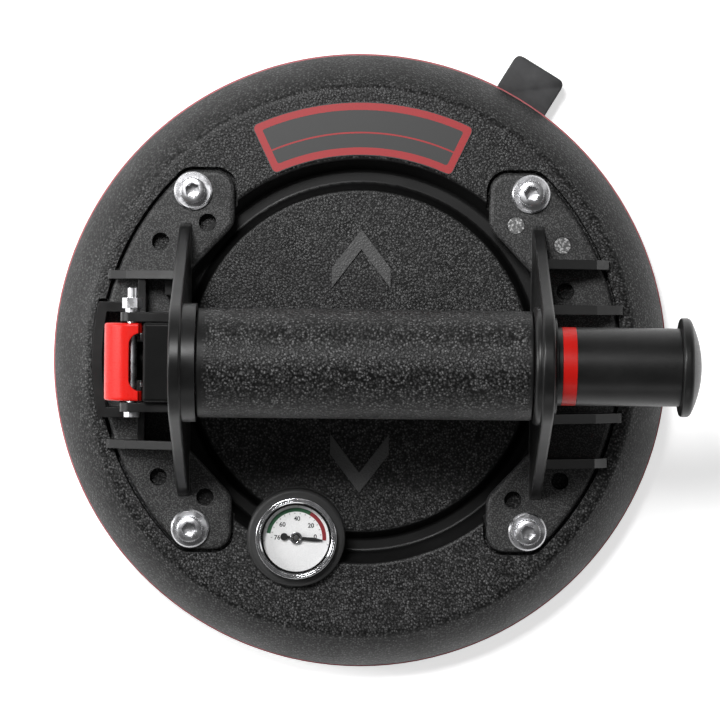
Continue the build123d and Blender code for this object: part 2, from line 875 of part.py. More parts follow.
# ---------------------------------------------------------------------------
# Brackets: a foot, an arched wall with a hub for the cylinder, and ribs
# ---------------------------------------------------------------------------
with BuildPart() as bracket_blank:
    with BuildSketch(across(wall_inner)):
        Circle(arch_radius)
        with Locations((0, foot_bottom - axis_height)):
            Rectangle(2 * arch_half_width, foot_thickness, align=(Align.CENTER, Align.MIN))
        make_hull()
    extrude(amount=wall_thickness)
    for wall_side in bracket_blank.faces().filter_by(Axis.X):
        fillet(wall_side.edges().sort_by(Axis.Z)[3:], wall_fillet)
    with BuildSketch(level(foot_bottom)):
        add(pump_foot.sketch)
    extrude(amount=foot_thickness)
    with BuildSketch(across(hub_face)):
        Circle(hub_radius)
    extrude(amount=hub_length + rib_root)
    fillet(bracket_blank.faces().filter_by(Axis.X).sort_by(Axis.X)[0].edges(), hub_fillet)
    with BuildSketch(across(hub_face)):
        Circle(cylinder_outer + fit_gap)
    extrude(amount=hub_length, mode=Mode.SUBTRACT)
    with BuildSketch(level(foot_bottom)):
        with Locations((screw_x, screw_y), (screw_x, -screw_y)):
            Circle(screw_radius + screw_hole_gap)
        with Locations(*core_holes, *[(x, -y) for x, y in core_holes]):
            Circle(core_hole_radius)
    extrude(amount=foot_thickness, mode=Mode.SUBTRACT)


def rib_face(place, height, margin):
    """Side view of a rib from a bracket's wall, over the edge of its foot, onto the ring."""
    end = sqrt(foot_outer**2 - (place + margin) ** 2) - rib_edge_gap
    lap_end = sqrt((foot_outer + rib_lap) ** 2 - (place + margin) ** 2)
    return outline(
        [
            (wall_outer - rib_root, foot_top - rib_root),
            (wall_outer - rib_root, foot_top + height),
            (wall_outer, foot_top + height),
            (min(wall_outer + rib_shelf, end), foot_top + height * rib_shelf_share),
            (lap_end, foot_top + rib_end_height),
            (lap_end, foot_top + face_gap),
            (end, foot_top + face_gap),
            (end, foot_top - rib_root),
        ]
    )


with BuildPart() as pump_bracket:
    add(bracket_blank.part)
    with BuildSketch(across(hub_face)):
        Circle(hub_radius + hub_fillet)
    extrude(amount=pump_hub_face - hub_face, mode=Mode.SUBTRACT)
    hub_edges = pump_bracket.edges().filter_by(GeomType.CIRCLE)
    hub_edges = hub_edges.filter_by_position(Axis.X, pump_hub_face - fit_gap, pump_hub_face + fit_gap)
    fillet(hub_edges.sort_by(SortBy.RADIUS)[-1], hub_fillet)
    for place, height in (
        (pump_rib_inner, pump_rib_inner_height),
        (pump_rib_outer, pump_rib_outer_height),
    ):
        for side in (1, -1):
            with BuildSketch(lengthwise(0, side * place)):
                add(rib_face(place, height, pump_rib_thickness / 2))
            extrude(amount=pump_rib_thickness / 2, both=True)
    with BuildSketch(across(wall_inner)):
        Circle(cylinder_bore)
    extrude(amount=wall_thickness, mode=Mode.SUBTRACT)
    with BuildSketch(level(foot_bottom)):
        with Locations(floor_hole):
            Circle(core_hole_radius)
    extrude(amount=foot_thickness, mode=Mode.SUBTRACT)
pump_bracket.part.label = "pump_bracket"
export_step(pump_bracket.part, "parts/pump_bracket.step")

web_start = wall_outer + web_place
shelf_side = valve_rib - valve_rib_thickness / 2
with BuildPart() as valve_bracket:
    add(bracket_blank.part)
    with BuildSketch(level(foot_bottom)):
        add(guard_plan.sketch)
    extrude(amount=foot_thickness)
    with BuildSketch(level(foot_top - rib_root)):
        add(guard_plan.sketch)
        add(guard_hollow.sketch, mode=Mode.SUBTRACT)
    extrude(amount=rib_root + guard_height)
    for side in (1, -1):
        with BuildSketch(lengthwise(0, side * valve_rib)):
            add(rib_face(valve_rib, valve_rib_height, valve_rib_thickness / 2))
        extrude(amount=valve_rib_thickness / 2, both=True)
        with BuildSketch(lengthwise(0, side * (ear_inner + ear_outer) / 2)):
            with Locations((pivot_place, axis_height)):
                Circle(pivot_radius + ear_margin)
            add(
                outline(
                    [
                        (wall_outer - rib_root, foot_top - rib_root),
                        (wall_outer + ear_length, foot_top - rib_root),
                        (wall_outer - rib_root, axis_height + pivot_radius + ear_margin),
                    ]
                )
            )
            make_hull()
        extrude(amount=ear_thickness / 2, both=True)
        with BuildSketch(level(foot_top - rib_root)):
            with Locations((web_start, side * (ear_outer + valve_rib) / 2)):
                Rectangle(web_width, valve_rib - ear_outer, align=(Align.MIN, Align.CENTER))
        extrude(amount=rib_root + web_height)
    with BuildSketch(level(foot_top - rib_root)):
        with Locations((wall_outer, shelf_side)):
            Rectangle(shelf_depth, shelf_width, align=(Align.MIN, Align.MAX))
    extrude(amount=rib_root + shelf_height)

    # Holes for the head's spigot, the block's screws, the grommet and the pivot bolt
    with BuildSketch(across(wall_inner)):
        Circle(head_spigot + fit_gap)
    extrude(amount=wall_thickness, mode=Mode.SUBTRACT)
    with BuildSketch(across(wall_inner, foot_top + block_screw_height)):
        with Locations((block_screw_spread, 0), (-block_screw_spread, 0)):
            Circle(block_screw_radius + fit_gap)
    extrude(amount=wall_thickness, mode=Mode.SUBTRACT)
    with BuildSketch(level(foot_bottom, (duct_place, 0))):
        Circle(grommet_radius + fit_gap)
    extrude(amount=foot_thickness, mode=Mode.SUBTRACT)
    with BuildSketch(lengthwise()):
        with Locations((pivot_place, 0)):
            Circle(pivot_radius + fit_gap)
    extrude(amount=ear_outer, both=True, mode=Mode.SUBTRACT)
    mirror(about=Plane.YZ, mode=Mode.REPLACE)
valve_bracket.part.label = "valve_bracket"
export_step(valve_bracket.part, "parts/valve_bracket.step")

# ---------------------------------------------------------------------------
# Bracket screws, washers, inserts and locating pins
# ---------------------------------------------------------------------------
with BuildPart() as bracket_screws:
    for place in screw_places:
        with BuildSketch(level(screw_seat, place)):
            Circle(screw_head)
        extrude(amount=screw_head_height)
        chamfer(bracket_screws.edges(Select.LAST).sort_by(Axis.Z)[-1], screw_head_bevel)
        with BuildSketch(level(screw_seat, place)):
            Circle(screw_radius)
        extrude(amount=-screw_length)
        with BuildSketch(level(screw_seat + screw_head_height, place)):
            RegularPolygon(screw_socket, 6)
        extrude(amount=-screw_socket_depth, mode=Mode.SUBTRACT)
bracket_screws.part.label = "bracket_screws"
export_step(bracket_screws.part, "parts/bracket_screws.step")

with BuildPart() as bracket_washers:
    for place in screw_places:
        with BuildSketch(level(foot_top + face_gap, place)):
            add(ring_face(washer_radius, screw_radius + screw_hole_gap))
        extrude(amount=washer_thickness)
        top_edges = bracket_washers.edges(Select.LAST).group_by(Axis.Z)[-1]
        chamfer(top_edges.sort_by(SortBy.RADIUS)[-1], washer_bevel)
bracket_washers.part.label = "bracket_washers"
export_step(bracket_washers.part, "parts/bracket_washers.step")

with BuildPart() as bracket_inserts:
    for place in screw_places:
        with BuildSketch(level(foot_bottom - face_gap, place)):
            add(ring_face(insert_radius, screw_radius + fit_gap))
        extrude(amount=-insert_length)
bracket_inserts.part.label = "bracket_inserts"
export_step(bracket_inserts.part, "parts/bracket_inserts.step")

with BuildPart() as locating_pins:
    for place in core_holes:
        with BuildSketch(level(foot_bottom + face_gap, place)):
            Circle(pin_radius)
        extrude(amount=foot_thickness - face_gap + pin_proud)
        with BuildSketch(level(foot_bottom - pin_depth, place)):
            Circle(pin_stem)
        extrude(amount=pin_depth + foot_thickness / 2)
locating_pins.part.label = "locating_pins"
export_step(locating_pins.part, "parts/locating_pins.step")

# ---------------------------------------------------------------------------
# Handle: grip sleeve on the pump's cylinder, and the head that closes it
# ---------------------------------------------------------------------------
with BuildPart() as grip_sleeve:
    with BuildSketch(across(stop_gap - hub_face)):
        add(ring_face(grip_inner + grip_wall, grip_inner))
    extrude(amount=hub_face + pump_hub_face - 2 * stop_gap)
    for end in grip_sleeve.faces().filter_by(Axis.X):
        fillet(end.edges().sort_by(SortBy.RADIUS)[-1], grip_fillet)
grip_sleeve.part.label = "grip_sleeve"
export_step(grip_sleeve.part, "parts/grip_sleeve.step")

with BuildPart() as pump_cylinder:
    with BuildSketch(across(-cylinder_end)):
        add(ring_face(cylinder_outer, cylinder_bore))
    extrude(amount=2 * cylinder_end)
pump_cylinder.part.label = "pump_cylinder"
export_step(pump_cylinder.part, "parts/pump_cylinder.step")

head_groove_start = head_start + (head_thickness - head_groove_width) / 2
with BuildPart() as cylinder_head:
    with BuildSketch(across(head_start)):
        Circle(cylinder_bore - fit_gap)
    extrude(amount=head_thickness)
    with BuildSketch(across(head_start)):
        Circle(head_spigot)
    extrude(amount=-(wall_outer + head_start))
    with BuildSketch(across(head_face)):
        Circle(nozzle_radius)
    extrude(amount=nozzle_length)
    with BuildSketch(across(head_groove_start)):
        add(ring_face(cylinder_bore, cylinder_bore - head_groove_depth))
    extrude(amount=head_groove_width, mode=Mode.SUBTRACT)
    with BuildSketch(across(-wall_outer)):
        Circle(duct_radius)
    extrude(amount=wall_outer, mode=Mode.SUBTRACT)
cylinder_head.part.label = "cylinder_head"
export_step(cylinder_head.part, "parts/cylinder_head.step")

seal_wire = head_groove_depth / 2 - fit_gap
with BuildPart() as head_seal:
    with BuildSketch(lengthwise()):
        with Locations((head_groove_start + head_groove_width / 2, cylinder_bore - head_groove_depth / 2)):
            Circle(seal_wire)
    revolve(axis=handle_axis)
head_seal.part.label = "head_seal"
export_step(head_seal.part, "parts/head_seal.step")

# ---------------------------------------------------------------------------
# Inlet check valve on the head's nozzle
# ---------------------------------------------------------------------------
with BuildPart() as check_disc:
    with BuildSketch(across(check_start)):
        Circle(check_radius)
    extrude(amount=check_thickness)
check_disc.part.label = "check_disc"
export_step(check_disc.part, "parts/check_disc.step")

with BuildPart() as check_spring:
    add(
        coil(
            check_spring_radius,
            check_spring_wire,
            check_spring_turns,
            check_end + face_gap,
            cage_inside - face_gap,
            axis_height,
        )
    )
check_spring.part.label = "check_spring"
export_step(check_spring.part, "parts/check_spring.step")

with BuildPart() as check_cage:
    with BuildSketch(across(head_face + face_gap)):
        Circle(nozzle_radius + fit_gap + cage_wall)
    extrude(amount=cage_end - head_face - face_gap)
    with BuildSketch(across(head_face)):
        Circle(nozzle_radius + fit_gap)
    extrude(amount=cage_inside - head_face, mode=Mode.SUBTRACT)
    with BuildSketch(across(cage_inside)):
        with PolarLocations(cage_port_circle, cage_ports):
            Circle(cage_port_radius)
    extrude(amount=cage_wall, mode=Mode.SUBTRACT)
check_cage.part.label = "check_cage"
export_step(check_cage.part, "parts/check_cage.step")

# ---------------------------------------------------------------------------
# Pump spring, piston and plunger
# ---------------------------------------------------------------------------
with BuildPart() as pump_spring:
    add(
        coil(
            (pocket_inner + pocket_outer) / 2,
            pump_spring_wire,
            pump_spring_turns,
            head_face + face_gap,
            piston_face + pocket_depth - face_gap,
            axis_height,
        )
    )
pump_spring.part.label = "pump_spring"
export_step(pump_spring.part, "parts/pump_spring.step")

seal_start = piston_face + seal_groove_start
seal_end = seal_start + seal_groove_width
seal_inner = cylinder_bore - seal_groove_depth
with BuildPart() as piston:
    with BuildSketch(across(piston_face)):
        Circle(cylinder_bore - run_gap)
    extrude(amount=piston_length - face_gap)
    with BuildSketch(across(piston_face)):
        add(ring_face(pocket_outer, pocket_inner))
    extrude(amount=pocket_depth, mode=Mode.SUBTRACT)
    with BuildSketch(across(seal_start)):
        add(ring_face(cylinder_bore, seal_inner))
    extrude(amount=seal_groove_width, mode=Mode.SUBTRACT)
    with BuildSketch(across(piston_face)):
        Circle(piston_screw_radius + fit_gap)
    extrude(amount=piston_length, mode=Mode.SUBTRACT)
piston.part.label = "piston"
export_step(piston.part, "parts/piston.step")

with BuildPart() as piston_seal:
    with BuildSketch(lengthwise()):
        with BuildLine():
            Polyline(
                (seal_start + face_gap, seal_inner + fit_gap),
                (seal_start + face_gap, cylinder_bore - run_gap),
                (seal_end - face_gap, cylinder_bore - run_gap),
                (seal_end - face_gap - seal_notch, (seal_inner + cylinder_bore) / 2),
                (seal_end - face_gap, seal_inner + fit_gap),
                close=True,
            )
        make_face()
    revolve(axis=handle_axis)
piston_seal.part.label = "piston_seal"
export_step(piston_seal.part, "parts/piston_seal.step")

with BuildPart() as piston_screw:
    with BuildSketch(across(piston_face - face_gap)):
        Circle(piston_screw_head)
    extrude(amount=-piston_screw_head_height)
    with BuildSketch(across(piston_face - face_gap)):
        Circle(piston_screw_radius)
    extrude(amount=piston_screw_length)
    with BuildSketch(across(piston_face - face_gap - piston_screw_head_height)):
        RegularPolygon(screw_socket, 6)
    extrude(amount=screw_socket_depth / 2, mode=Mode.SUBTRACT)
piston_screw.part.label = "piston_screw"
export_step(piston_screw.part, "parts/piston_screw.step")

plunger_floor = piston_end + plunger_web
indicator_inner = plunger_radius - indicator_depth
with BuildPart() as plunger_tube:
    with BuildSketch(across(piston_end)):
        Circle(cylinder_bore - run_gap)
    extrude(amount=bush_face - stop_gap - piston_end)
    with BuildSketch(across(piston_end)):
        Circle(plunger_radius)
    extrude(amount=knob_face - face_gap - piston_end)
    with BuildSketch(across(plunger_floor)):
        Circle(plunger_bore)
    extrude(amount=knob_face - plunger_floor, mode=Mode.SUBTRACT)
    with BuildSketch(across(plunger_floor)):
        Circle(plunger_boss)
    extrude(amount=plunger_boss_length)
    with BuildSketch(across(piston_end)):
        Circle(piston_screw_radius + fit_gap)
    extrude(amount=piston_screw_length - piston_length + plunger_web, mode=Mode.SUBTRACT)
    with BuildSketch(across(indicator_start)):
        add(ring_face(plunger_radius, indicator_inner))
    extrude(amount=indicator_width, mode=Mode.SUBTRACT)
plunger_tube.part.label = "plunger_tube"
export_step(plunger_tube.part, "parts/plunger_tube.step")

with BuildPart() as indicator_ring:
    with BuildSketch(across(indicator_start + face_gap)):
        add(ring_face(plunger_radius, indicator_inner + fit_gap))
    extrude(amount=indicator_width - 2 * face_gap)
indicator_ring.part.label = "indicator_ring"
export_step(indicator_ring.part, "parts/indicator_ring.step")

spigot_radius = plunger_bore - fit_gap
spigot_start = knob_face - knob_spigot_length
spigot_bore = spigot_radius - knob_spigot_wall
with BuildPart() as plunger_cap:
    with BuildSketch(lengthwise()) as cap_section:
        with BuildLine():
            TangentArc(
                (knob_face + knob_rim + knob_dome, 0),
                (knob_face + knob_rim, knob_radius),
                tangent=(0, 1),
            )
            Polyline(
                (knob_face + knob_rim, knob_radius),
                (knob_face, knob_radius),
                (knob_face, spigot_radius),
                (spigot_start, spigot_radius),
                (spigot_start, spigot_bore),
                (knob_face, spigot_bore),
                (knob_face, 0),
                (knob_face + knob_rim + knob_dome, 0),
            )
        make_face()
        fillet(corner(cap_section, knob_face + knob_rim, knob_radius), knob_fillet)
        fillet(corner(cap_section, knob_face, knob_radius), knob_fillet / 2)
    revolve(axis=handle_axis)
plunger_cap.part.label = "plunger_cap"
export_step(plunger_cap.part, "parts/plunger_cap.step")

with BuildPart() as guide_bush:
    with BuildSketch(across(bush_face)):
        Circle(bush_outer)
    extrude(amount=bush_end - bush_face)
    with BuildSketch(across(wall_outer + face_gap)):
        Circle(cylinder_bore + bush_flange_lap)
    extrude(amount=bush_flange)
    with BuildSketch(across(bush_face)):
        Circle(plunger_radius + run_gap)
        with PolarLocations(plunger_radius + run_gap, vent_count, start_angle=-90):
            Circle(vent_radius)
    extrude(amount=bush_end - bush_face, mode=Mode.SUBTRACT)
guide_bush.part.label = "guide_bush"
export_step(guide_bush.part, "parts/guide_bush.step")

# ---------------------------------------------------------------------------
# Valve block, with the ducts from the pad to the pump and to the release valve
# ---------------------------------------------------------------------------
block_screw_level = foot_top + block_screw_height
chamber_floor = block_face + chamber_wall
with BuildPart() as valve_block:
    with BuildSketch(outboard(block_face, block_bottom)):
        Rectangle(2 * block_half_width, block_top - block_bottom, align=(Align.CENTER, Align.MIN))
    extrude(amount=block_thickness)
    fillet(valve_block.edges().filter_by(Axis.Z).group_by(Axis.X)[0], block_fillet)
    fillet(valve_block.faces().sort_by(Axis.Z)[-1].edges().sort_by(Axis.X)[0], block_fillet)
    with BuildSketch(level(block_bottom, port_centre)):
        Circle(duct_radius)
    extrude(amount=axis_height + duct_radius - block_bottom, mode=Mode.SUBTRACT)
    with BuildSketch(outboard(block_face)):
        Circle(duct_radius)
    extrude(amount=duct_offset, mode=Mode.SUBTRACT)
    with BuildSketch(outboard(block_face)):
        Circle(head_spigot + 2 * fit_gap)
    extrude(amount=spigot_seal_thickness, mode=Mode.SUBTRACT)
    with BuildSketch(outboard(chamber_floor, valve_height)):
        Circle(chamber_radius)
    extrude(amount=block_thickness, mode=Mode.SUBTRACT)
    with BuildSketch(outboard(block_outer - seat_spigot_length - face_gap, valve_height)):
        Circle(seat_spigot + fit_gap)
    extrude(amount=block_thickness, mode=Mode.SUBTRACT)
    with BuildSketch(outboard(block_face, block_screw_level)):
        with Locations((block_screw_spread, 0), (-block_screw_spread, 0)):
            Circle(block_screw_radius + fit_gap)
    extrude(amount=block_thickness, mode=Mode.SUBTRACT)
valve_block.part.label = "valve_block"
export_step(valve_block.part, "parts/valve_block.step")

screw_head_end = block_outer + face_gap + block_screw_head_height
with BuildPart() as block_screws:
    for side in (1, -1):
        with BuildSketch(outboard(block_outer + face_gap, block_screw_level)):
            with Locations((side * block_screw_spread, 0)):
                Circle(block_screw_head)
        extrude(amount=block_screw_head_height)
        with BuildSketch(outboard(block_outer + face_gap, block_screw_level)):
            with Locations((side * block_screw_spread, 0)):
                Circle(block_screw_radius)
        extrude(amount=-block_screw_length)
        with BuildSketch(outboard(screw_head_end, block_screw_level)):
            with Locations((side * block_screw_spread, 0)):
                RegularPolygon(block_screw_socket, 6)
        extrude(amount=-block_screw_head_height / 2, mode=Mode.SUBTRACT)
block_screws.part.label = "block_screws"
export_step(block_screws.part, "parts/block_screws.step")

with BuildPart() as port_grommet:
    with BuildSketch(level(grommet_seat + face_gap, port_centre)):
        add(ring_face(grommet_radius, duct_radius))
    extrude(amount=foot_top - grommet_seat - face_gap)
port_grommet.part.label = "port_grommet"
export_step(port_grommet.part, "parts/port_grommet.step")

with BuildPart() as port_filter:
    with BuildSketch(level(plate_bottom + face_gap, port_centre)):
        Circle(filter_radius)
    extrude(amount=filter_thickness)
port_filter.part.label = "port_filter"
export_step(port_filter.part, "parts/port_filter.step")

with BuildPart() as spigot_seal:
    with BuildSketch(outboard(block_face)):
        add(ring_face(head_spigot + fit_gap, duct_radius))
    extrude(amount=spigot_seal_thickness - face_gap)
spigot_seal.part.label = "spigot_seal"
export_step(spigot_seal.part, "parts/spigot_seal.step")

# ---------------------------------------------------------------------------
# Release valve: seat, stem with its poppet and seal, and spring
# ---------------------------------------------------------------------------
with BuildPart() as valve_seat:
    with BuildSketch(outboard(block_outer + face_gap, valve_height)):
        Circle(seat_flange)
    extrude(amount=seat_length - face_gap)
    with BuildSketch(outboard(block_outer - seat_spigot_length, valve_height)):
        Circle(seat_spigot)
    extrude(amount=2 * seat_spigot_length)
    with BuildSketch(outboard(block_outer - seat_spigot_length, valve_height)):
        Circle(chamber_radius)
    extrude(amount=seat_inside - block_outer + seat_spigot_length, mode=Mode.SUBTRACT)
    with BuildSketch(outboard(block_outer, valve_height)):
        Circle(stem_radius + stem_play)
    extrude(amount=seat_length, mode=Mode.SUBTRACT)
valve_seat.part.label = "valve_seat"
export_step(valve_seat.part, "parts/valve_seat.step")

seal_face = seat_inside - face_gap
poppet_face = seal_face - valve_seal_thickness - face_gap
poppet_back = poppet_face - poppet_thickness
with BuildPart() as valve_stem:
    with BuildSketch(outboard(poppet_back, valve_height)):
        Circle(poppet_radius)
    extrude(amount=poppet_thickness)
    with BuildSketch(outboard(poppet_back, valve_height)):
        Circle(stem_radius)
    extrude(amount=stem_tip - poppet_back)
    with BuildSketch(outboard(poppet_back, valve_height)):
        Circle(stem_tail)
    extrude(amount=chamber_floor + stem_stroke + stem_tail_room - poppet_back)
    fillet(valve_stem.edges().sort_by(Axis.X)[0], stem_radius / 2)
valve_stem.part.label = "valve_stem"
export_step(valve_stem.part, "parts/valve_stem.step")

with BuildPart() as valve_seal:
    with BuildSketch(outboard(seal_face, valve_height)):
        add(ring_face(valve_seal_radius, stem_radius + fit_gap))
    extrude(amount=-valve_seal_thickness)
valve_seal.part.label = "valve_seal"
export_step(valve_seal.part, "parts/valve_seal.step")

with BuildPart() as valve_spring:
    add(
        coil(
            valve_spring_radius,
            valve_spring_wire,
            valve_spring_turns,
            face_gap - poppet_back,
            -chamber_floor - face_gap,
            valve_height,
        )
    )
valve_spring.part.label = "valve_spring"
export_step(valve_spring.part, "parts/valve_spring.step")

# ---------------------------------------------------------------------------
# Release lever on its pivot bolt
# ---------------------------------------------------------------------------
bend_centre = (lever_face - lever_bend, lever_top - lever_bend)
inner_bend = lever_bend - lever_skin
lever_half_opening = lever_half_width - lever_cheek
cheek_end = pivot_place + cheek_back
diagonal = sin(radians(45))

with BuildSketch() as lever_side:
    with BuildLine():
        Polyline(
            (cheek_end, axis_height + cheek_shoulder),
            (pivot_place + cheek_waist_out, axis_height - cheek_waist_drop),
            (pivot_place + cheek_foot, lever_bottom),
            (lever_face - lever_draft, lever_bottom),
            (lever_face, bend_centre[1]),
        )
        ThreePointArc(
            (lever_face, bend_centre[1]),
            (bend_centre[0] + lever_bend * diagonal, bend_centre[1] + lever_bend * diagonal),
            (bend_centre[0], lever_top),
        )
        Polyline(
            (bend_centre[0], lever_top),
            (cheek_end, lever_top),
            (cheek_end, axis_height + cheek_shoulder),
        )
    make_face()
    with Locations((pivot_place, axis_height)):
        Circle(lever_lug)

with BuildSketch() as lever_inside:
    with BuildLine():
        Polyline(
            (bend_centre[0], lever_top - lever_skin),
            (block_face, lever_top - lever_skin),
            (block_face, lever_bottom - lever_tail),
            (lever_face - lever_draft - lever_skin, lever_bottom - lever_tail),
            (lever_face - lever_draft - lever_skin, lever_bottom),
            (lever_face - lever_skin, bend_centre[1]),
        )
        ThreePointArc(
            (lever_face - lever_skin, bend_centre[1]),
            (bend_centre[0] + inner_bend * diagonal, bend_centre[1] + inner_bend * diagonal),
            (bend_centre[0], lever_top - lever_skin),
        )
    make_face()

with BuildPart() as release_lever:
    with BuildSketch(left_side()):
        add(lever_side.sketch)
    extrude(amount=lever_half_width, both=True)
    cheek_sides = release_lever.faces().filter_by(Axis.Y)
    for cheek_side in cheek_sides:
        outer_edges = cheek_side.edges().filter_by_position(Axis.X, -2 * lever_face, -bend_centre[0])
        bend_edges = outer_edges.filter_by_position(Axis.Z, valve_height, 2 * lever_top)
        fillet(bend_edges, lever_edge_fillet)
    with BuildSketch(left_side()):
        add(lever_inside.sketch)
    extrude(amount=lever_half_opening, both=True, mode=Mode.SUBTRACT)
    with BuildSketch(level(lever_top)) as window:
        with Locations((-(pivot_place + lever_window), 0)):
            Rectangle(lever_bend, 2 * lever_half_opening, align=(Align.MIN, Align.CENTER))
        fillet(window.vertices().group_by(Axis.X)[0], lever_corner)
    extrude(amount=-lever_skin, mode=Mode.SUBTRACT)
    with BuildSketch(left_side()):
        with Locations((nose_place, valve_height)):
            Circle(nose_radius)
    extrude(amount=nose_width / 2, both=True)
    with BuildSketch(left_side()):
        with Locations((pivot_place, axis_height)):
            Circle(pivot_radius + run_gap)
    extrude(amount=lever_half_width, both=True, mode=Mode.SUBTRACT)
release_lever.part.label = "release_lever"
export_step(release_lever.part, "parts/release_lever.step")

nut_start = ear_outer + face_gap
nut_end = nut_start + nut_collar + nut_height
with BuildPart() as lever_pivot_bolt:
    with BuildSketch(left_side(y=-ear_outer - face_gap)):
        with Locations((pivot_place, axis_height)):
            Circle(pivot_head)
    extrude(amount=-pivot_head_height)
    with BuildSketch(left_side(y=-ear_outer - face_gap)):
        with Locations((pivot_place, axis_height)):
            Circle(pivot_radius)
    extrude(amount=ear_outer + face_gap + nut_end + pivot_thread_out)
    with BuildSketch(left_side(y=-ear_outer - face_gap - pivot_head_height)):
        with Locations((pivot_place, axis_height)):
            RegularPolygon(pivot_socket, 6)
    extrude(amount=pivot_head_height / 2, mode=Mode.SUBTRACT)
lever_pivot_bolt.part.label = "lever_pivot_bolt"
export_step(lever_pivot_bolt.part, "parts/lever_pivot_bolt.step")

with BuildPart() as lever_pivot_nut:
    with BuildSketch(left_side(y=nut_start)):
        with Locations((pivot_place, axis_height)):
            Circle(nut_collar_radius)
            Circle(pivot_radius + fit_gap, mode=Mode.SUBTRACT)
    extrude(amount=nut_collar)
    with BuildSketch(left_side(y=nut_start + nut_collar)):
        with Locations((pivot_place, axis_height)):
            RegularPolygon(nut_size, 6, major_radius=False)
            Circle(pivot_radius + fit_gap, mode=Mode.SUBTRACT)
    extrude(amount=nut_height)
lever_pivot_nut.part.label = "lever_pivot_nut"
export_step(lever_pivot_nut.part, "parts/lever_pivot_nut.step")

# ---------------------------------------------------------------------------
# Vacuum gauge: case, window, dial and needle
# ---------------------------------------------------------------------------
with BuildPart() as gauge_case:
    with BuildSketch(level(case_bottom, gauge_centre)):
        Circle(case_radius)
    extrude(amount=case_top - case_bottom)
    with BuildSketch(level(case_floor, gauge_centre)):
        Circle(case_radius - case_wall)
    extrude(amount=case_top - case_floor, mode=Mode.SUBTRACT)
    with BuildSketch(level(case_bottom, gauge_centre)):
        Circle(socket_radius + fit_gap)
    extrude(amount=case_wall, mode=Mode.SUBTRACT)
gauge_case.part.label = "gauge_case"
export_step(gauge_case.part, "parts/gauge_case.step")

with BuildPart() as gauge_bezel:
    with BuildSketch(level(bezel_bottom, gauge_centre)):
        Circle(bezel_outer)
    extrude(amount=bezel_top - bezel_bottom)
    fillet(gauge_bezel.edges().sort_by(Axis.Z)[-1], bezel_lip_height / 2)
    with BuildSketch(level(bezel_bottom, gauge_centre)):
        Circle(case_radius + fit_gap)
    extrude(amount=bezel_top - bezel_lip_height - bezel_bottom, mode=Mode.SUBTRACT)
    with BuildSketch(level(bezel_bottom, gauge_centre)):
        Circle(case_radius + fit_gap - bezel_lip)
    extrude(amount=bezel_top - bezel_bottom, mode=Mode.SUBTRACT)
gauge_bezel.part.label = "gauge_bezel"
export_step(gauge_bezel.part, "parts/gauge_bezel.step")

with BuildPart() as gauge_lens:
    with BuildSketch(level(lens_bottom, gauge_centre)):
        Circle(case_radius)
    extrude(amount=lens_thickness)
gauge_lens.part.label = "gauge_lens"
export_step(gauge_lens.part, "parts/gauge_lens.step")

with BuildPart() as gauge_dial:
    with BuildSketch(level(dial_height, gauge_centre)):
        add(ring_face(case_radius - case_wall - dial_gap, 2 * arbor_radius))
    extrude(amount=dial_thickness)
gauge_dial.part.label = "gauge_dial"
export_step(gauge_dial.part, "parts/gauge_dial.step")

needle_plane = Plane(
    origin=(gauge_x, gauge_y, needle_height),
    x_dir=(cos(radians(needle_rest)), sin(radians(needle_rest)), 0),
    z_dir=(0, 0, 1),
)
with BuildPart() as gauge_needle:
    with BuildSketch(needle_plane):
        with BuildLine():
            Polyline(
                (-needle_tail, needle_stem),
                (0, needle_stem),
                (needle_shoulder, needle_width),
                (needle_length, needle_tip),
                (needle_length, -needle_tip),
                (needle_shoulder, -needle_width),
                (0, -needle_stem),
                (-needle_tail, -needle_stem),
                close=True,
            )
        make_face()
        with Locations((-needle_tail, 0)):
            Circle(needle_weight)
        Circle(needle_hub)
        Circle(arbor_radius + fit_gap, mode=Mode.SUBTRACT)
    extrude(amount=needle_thickness)
gauge_needle.part.label = "gauge_needle"
export_step(gauge_needle.part, "parts/gauge_needle.step")

# ---------------------------------------------------------------------------
# Gauge movement: pinion and sector between two plates, worked by the tube
# ---------------------------------------------------------------------------
pinion_step = 360 / pinion_teeth
sector_step = 360 / sector_teeth
sector_centre = (gauge_x, gauge_y + sector_pivot)
arbor_bottom = movement_low + stop_gap
sector_travel_teeth = round(sector_travel / sector_step)

with BuildPart() as needle_arbor:
    with BuildSketch(level(arbor_bottom, gauge_centre)):
        Circle(arbor_radius)
    extrude(amount=needle_height + needle_thickness + arbor_end - arbor_bottom)
    with BuildSketch(level(gear_height, gauge_centre)):
        Circle(pinion_pitch - tooth_dedendum)
        pinion_angles = [90 + (tooth + 0.5) * pinion_step for tooth in range(pinion_teeth)]
        add(gear_teeth(pinion_pitch, pinion_teeth, pinion_angles))
    extrude(amount=gear_thickness)
needle_arbor.part.label = "needle_arbor"
export_step(needle_arbor.part, "parts/needle_arbor.step")

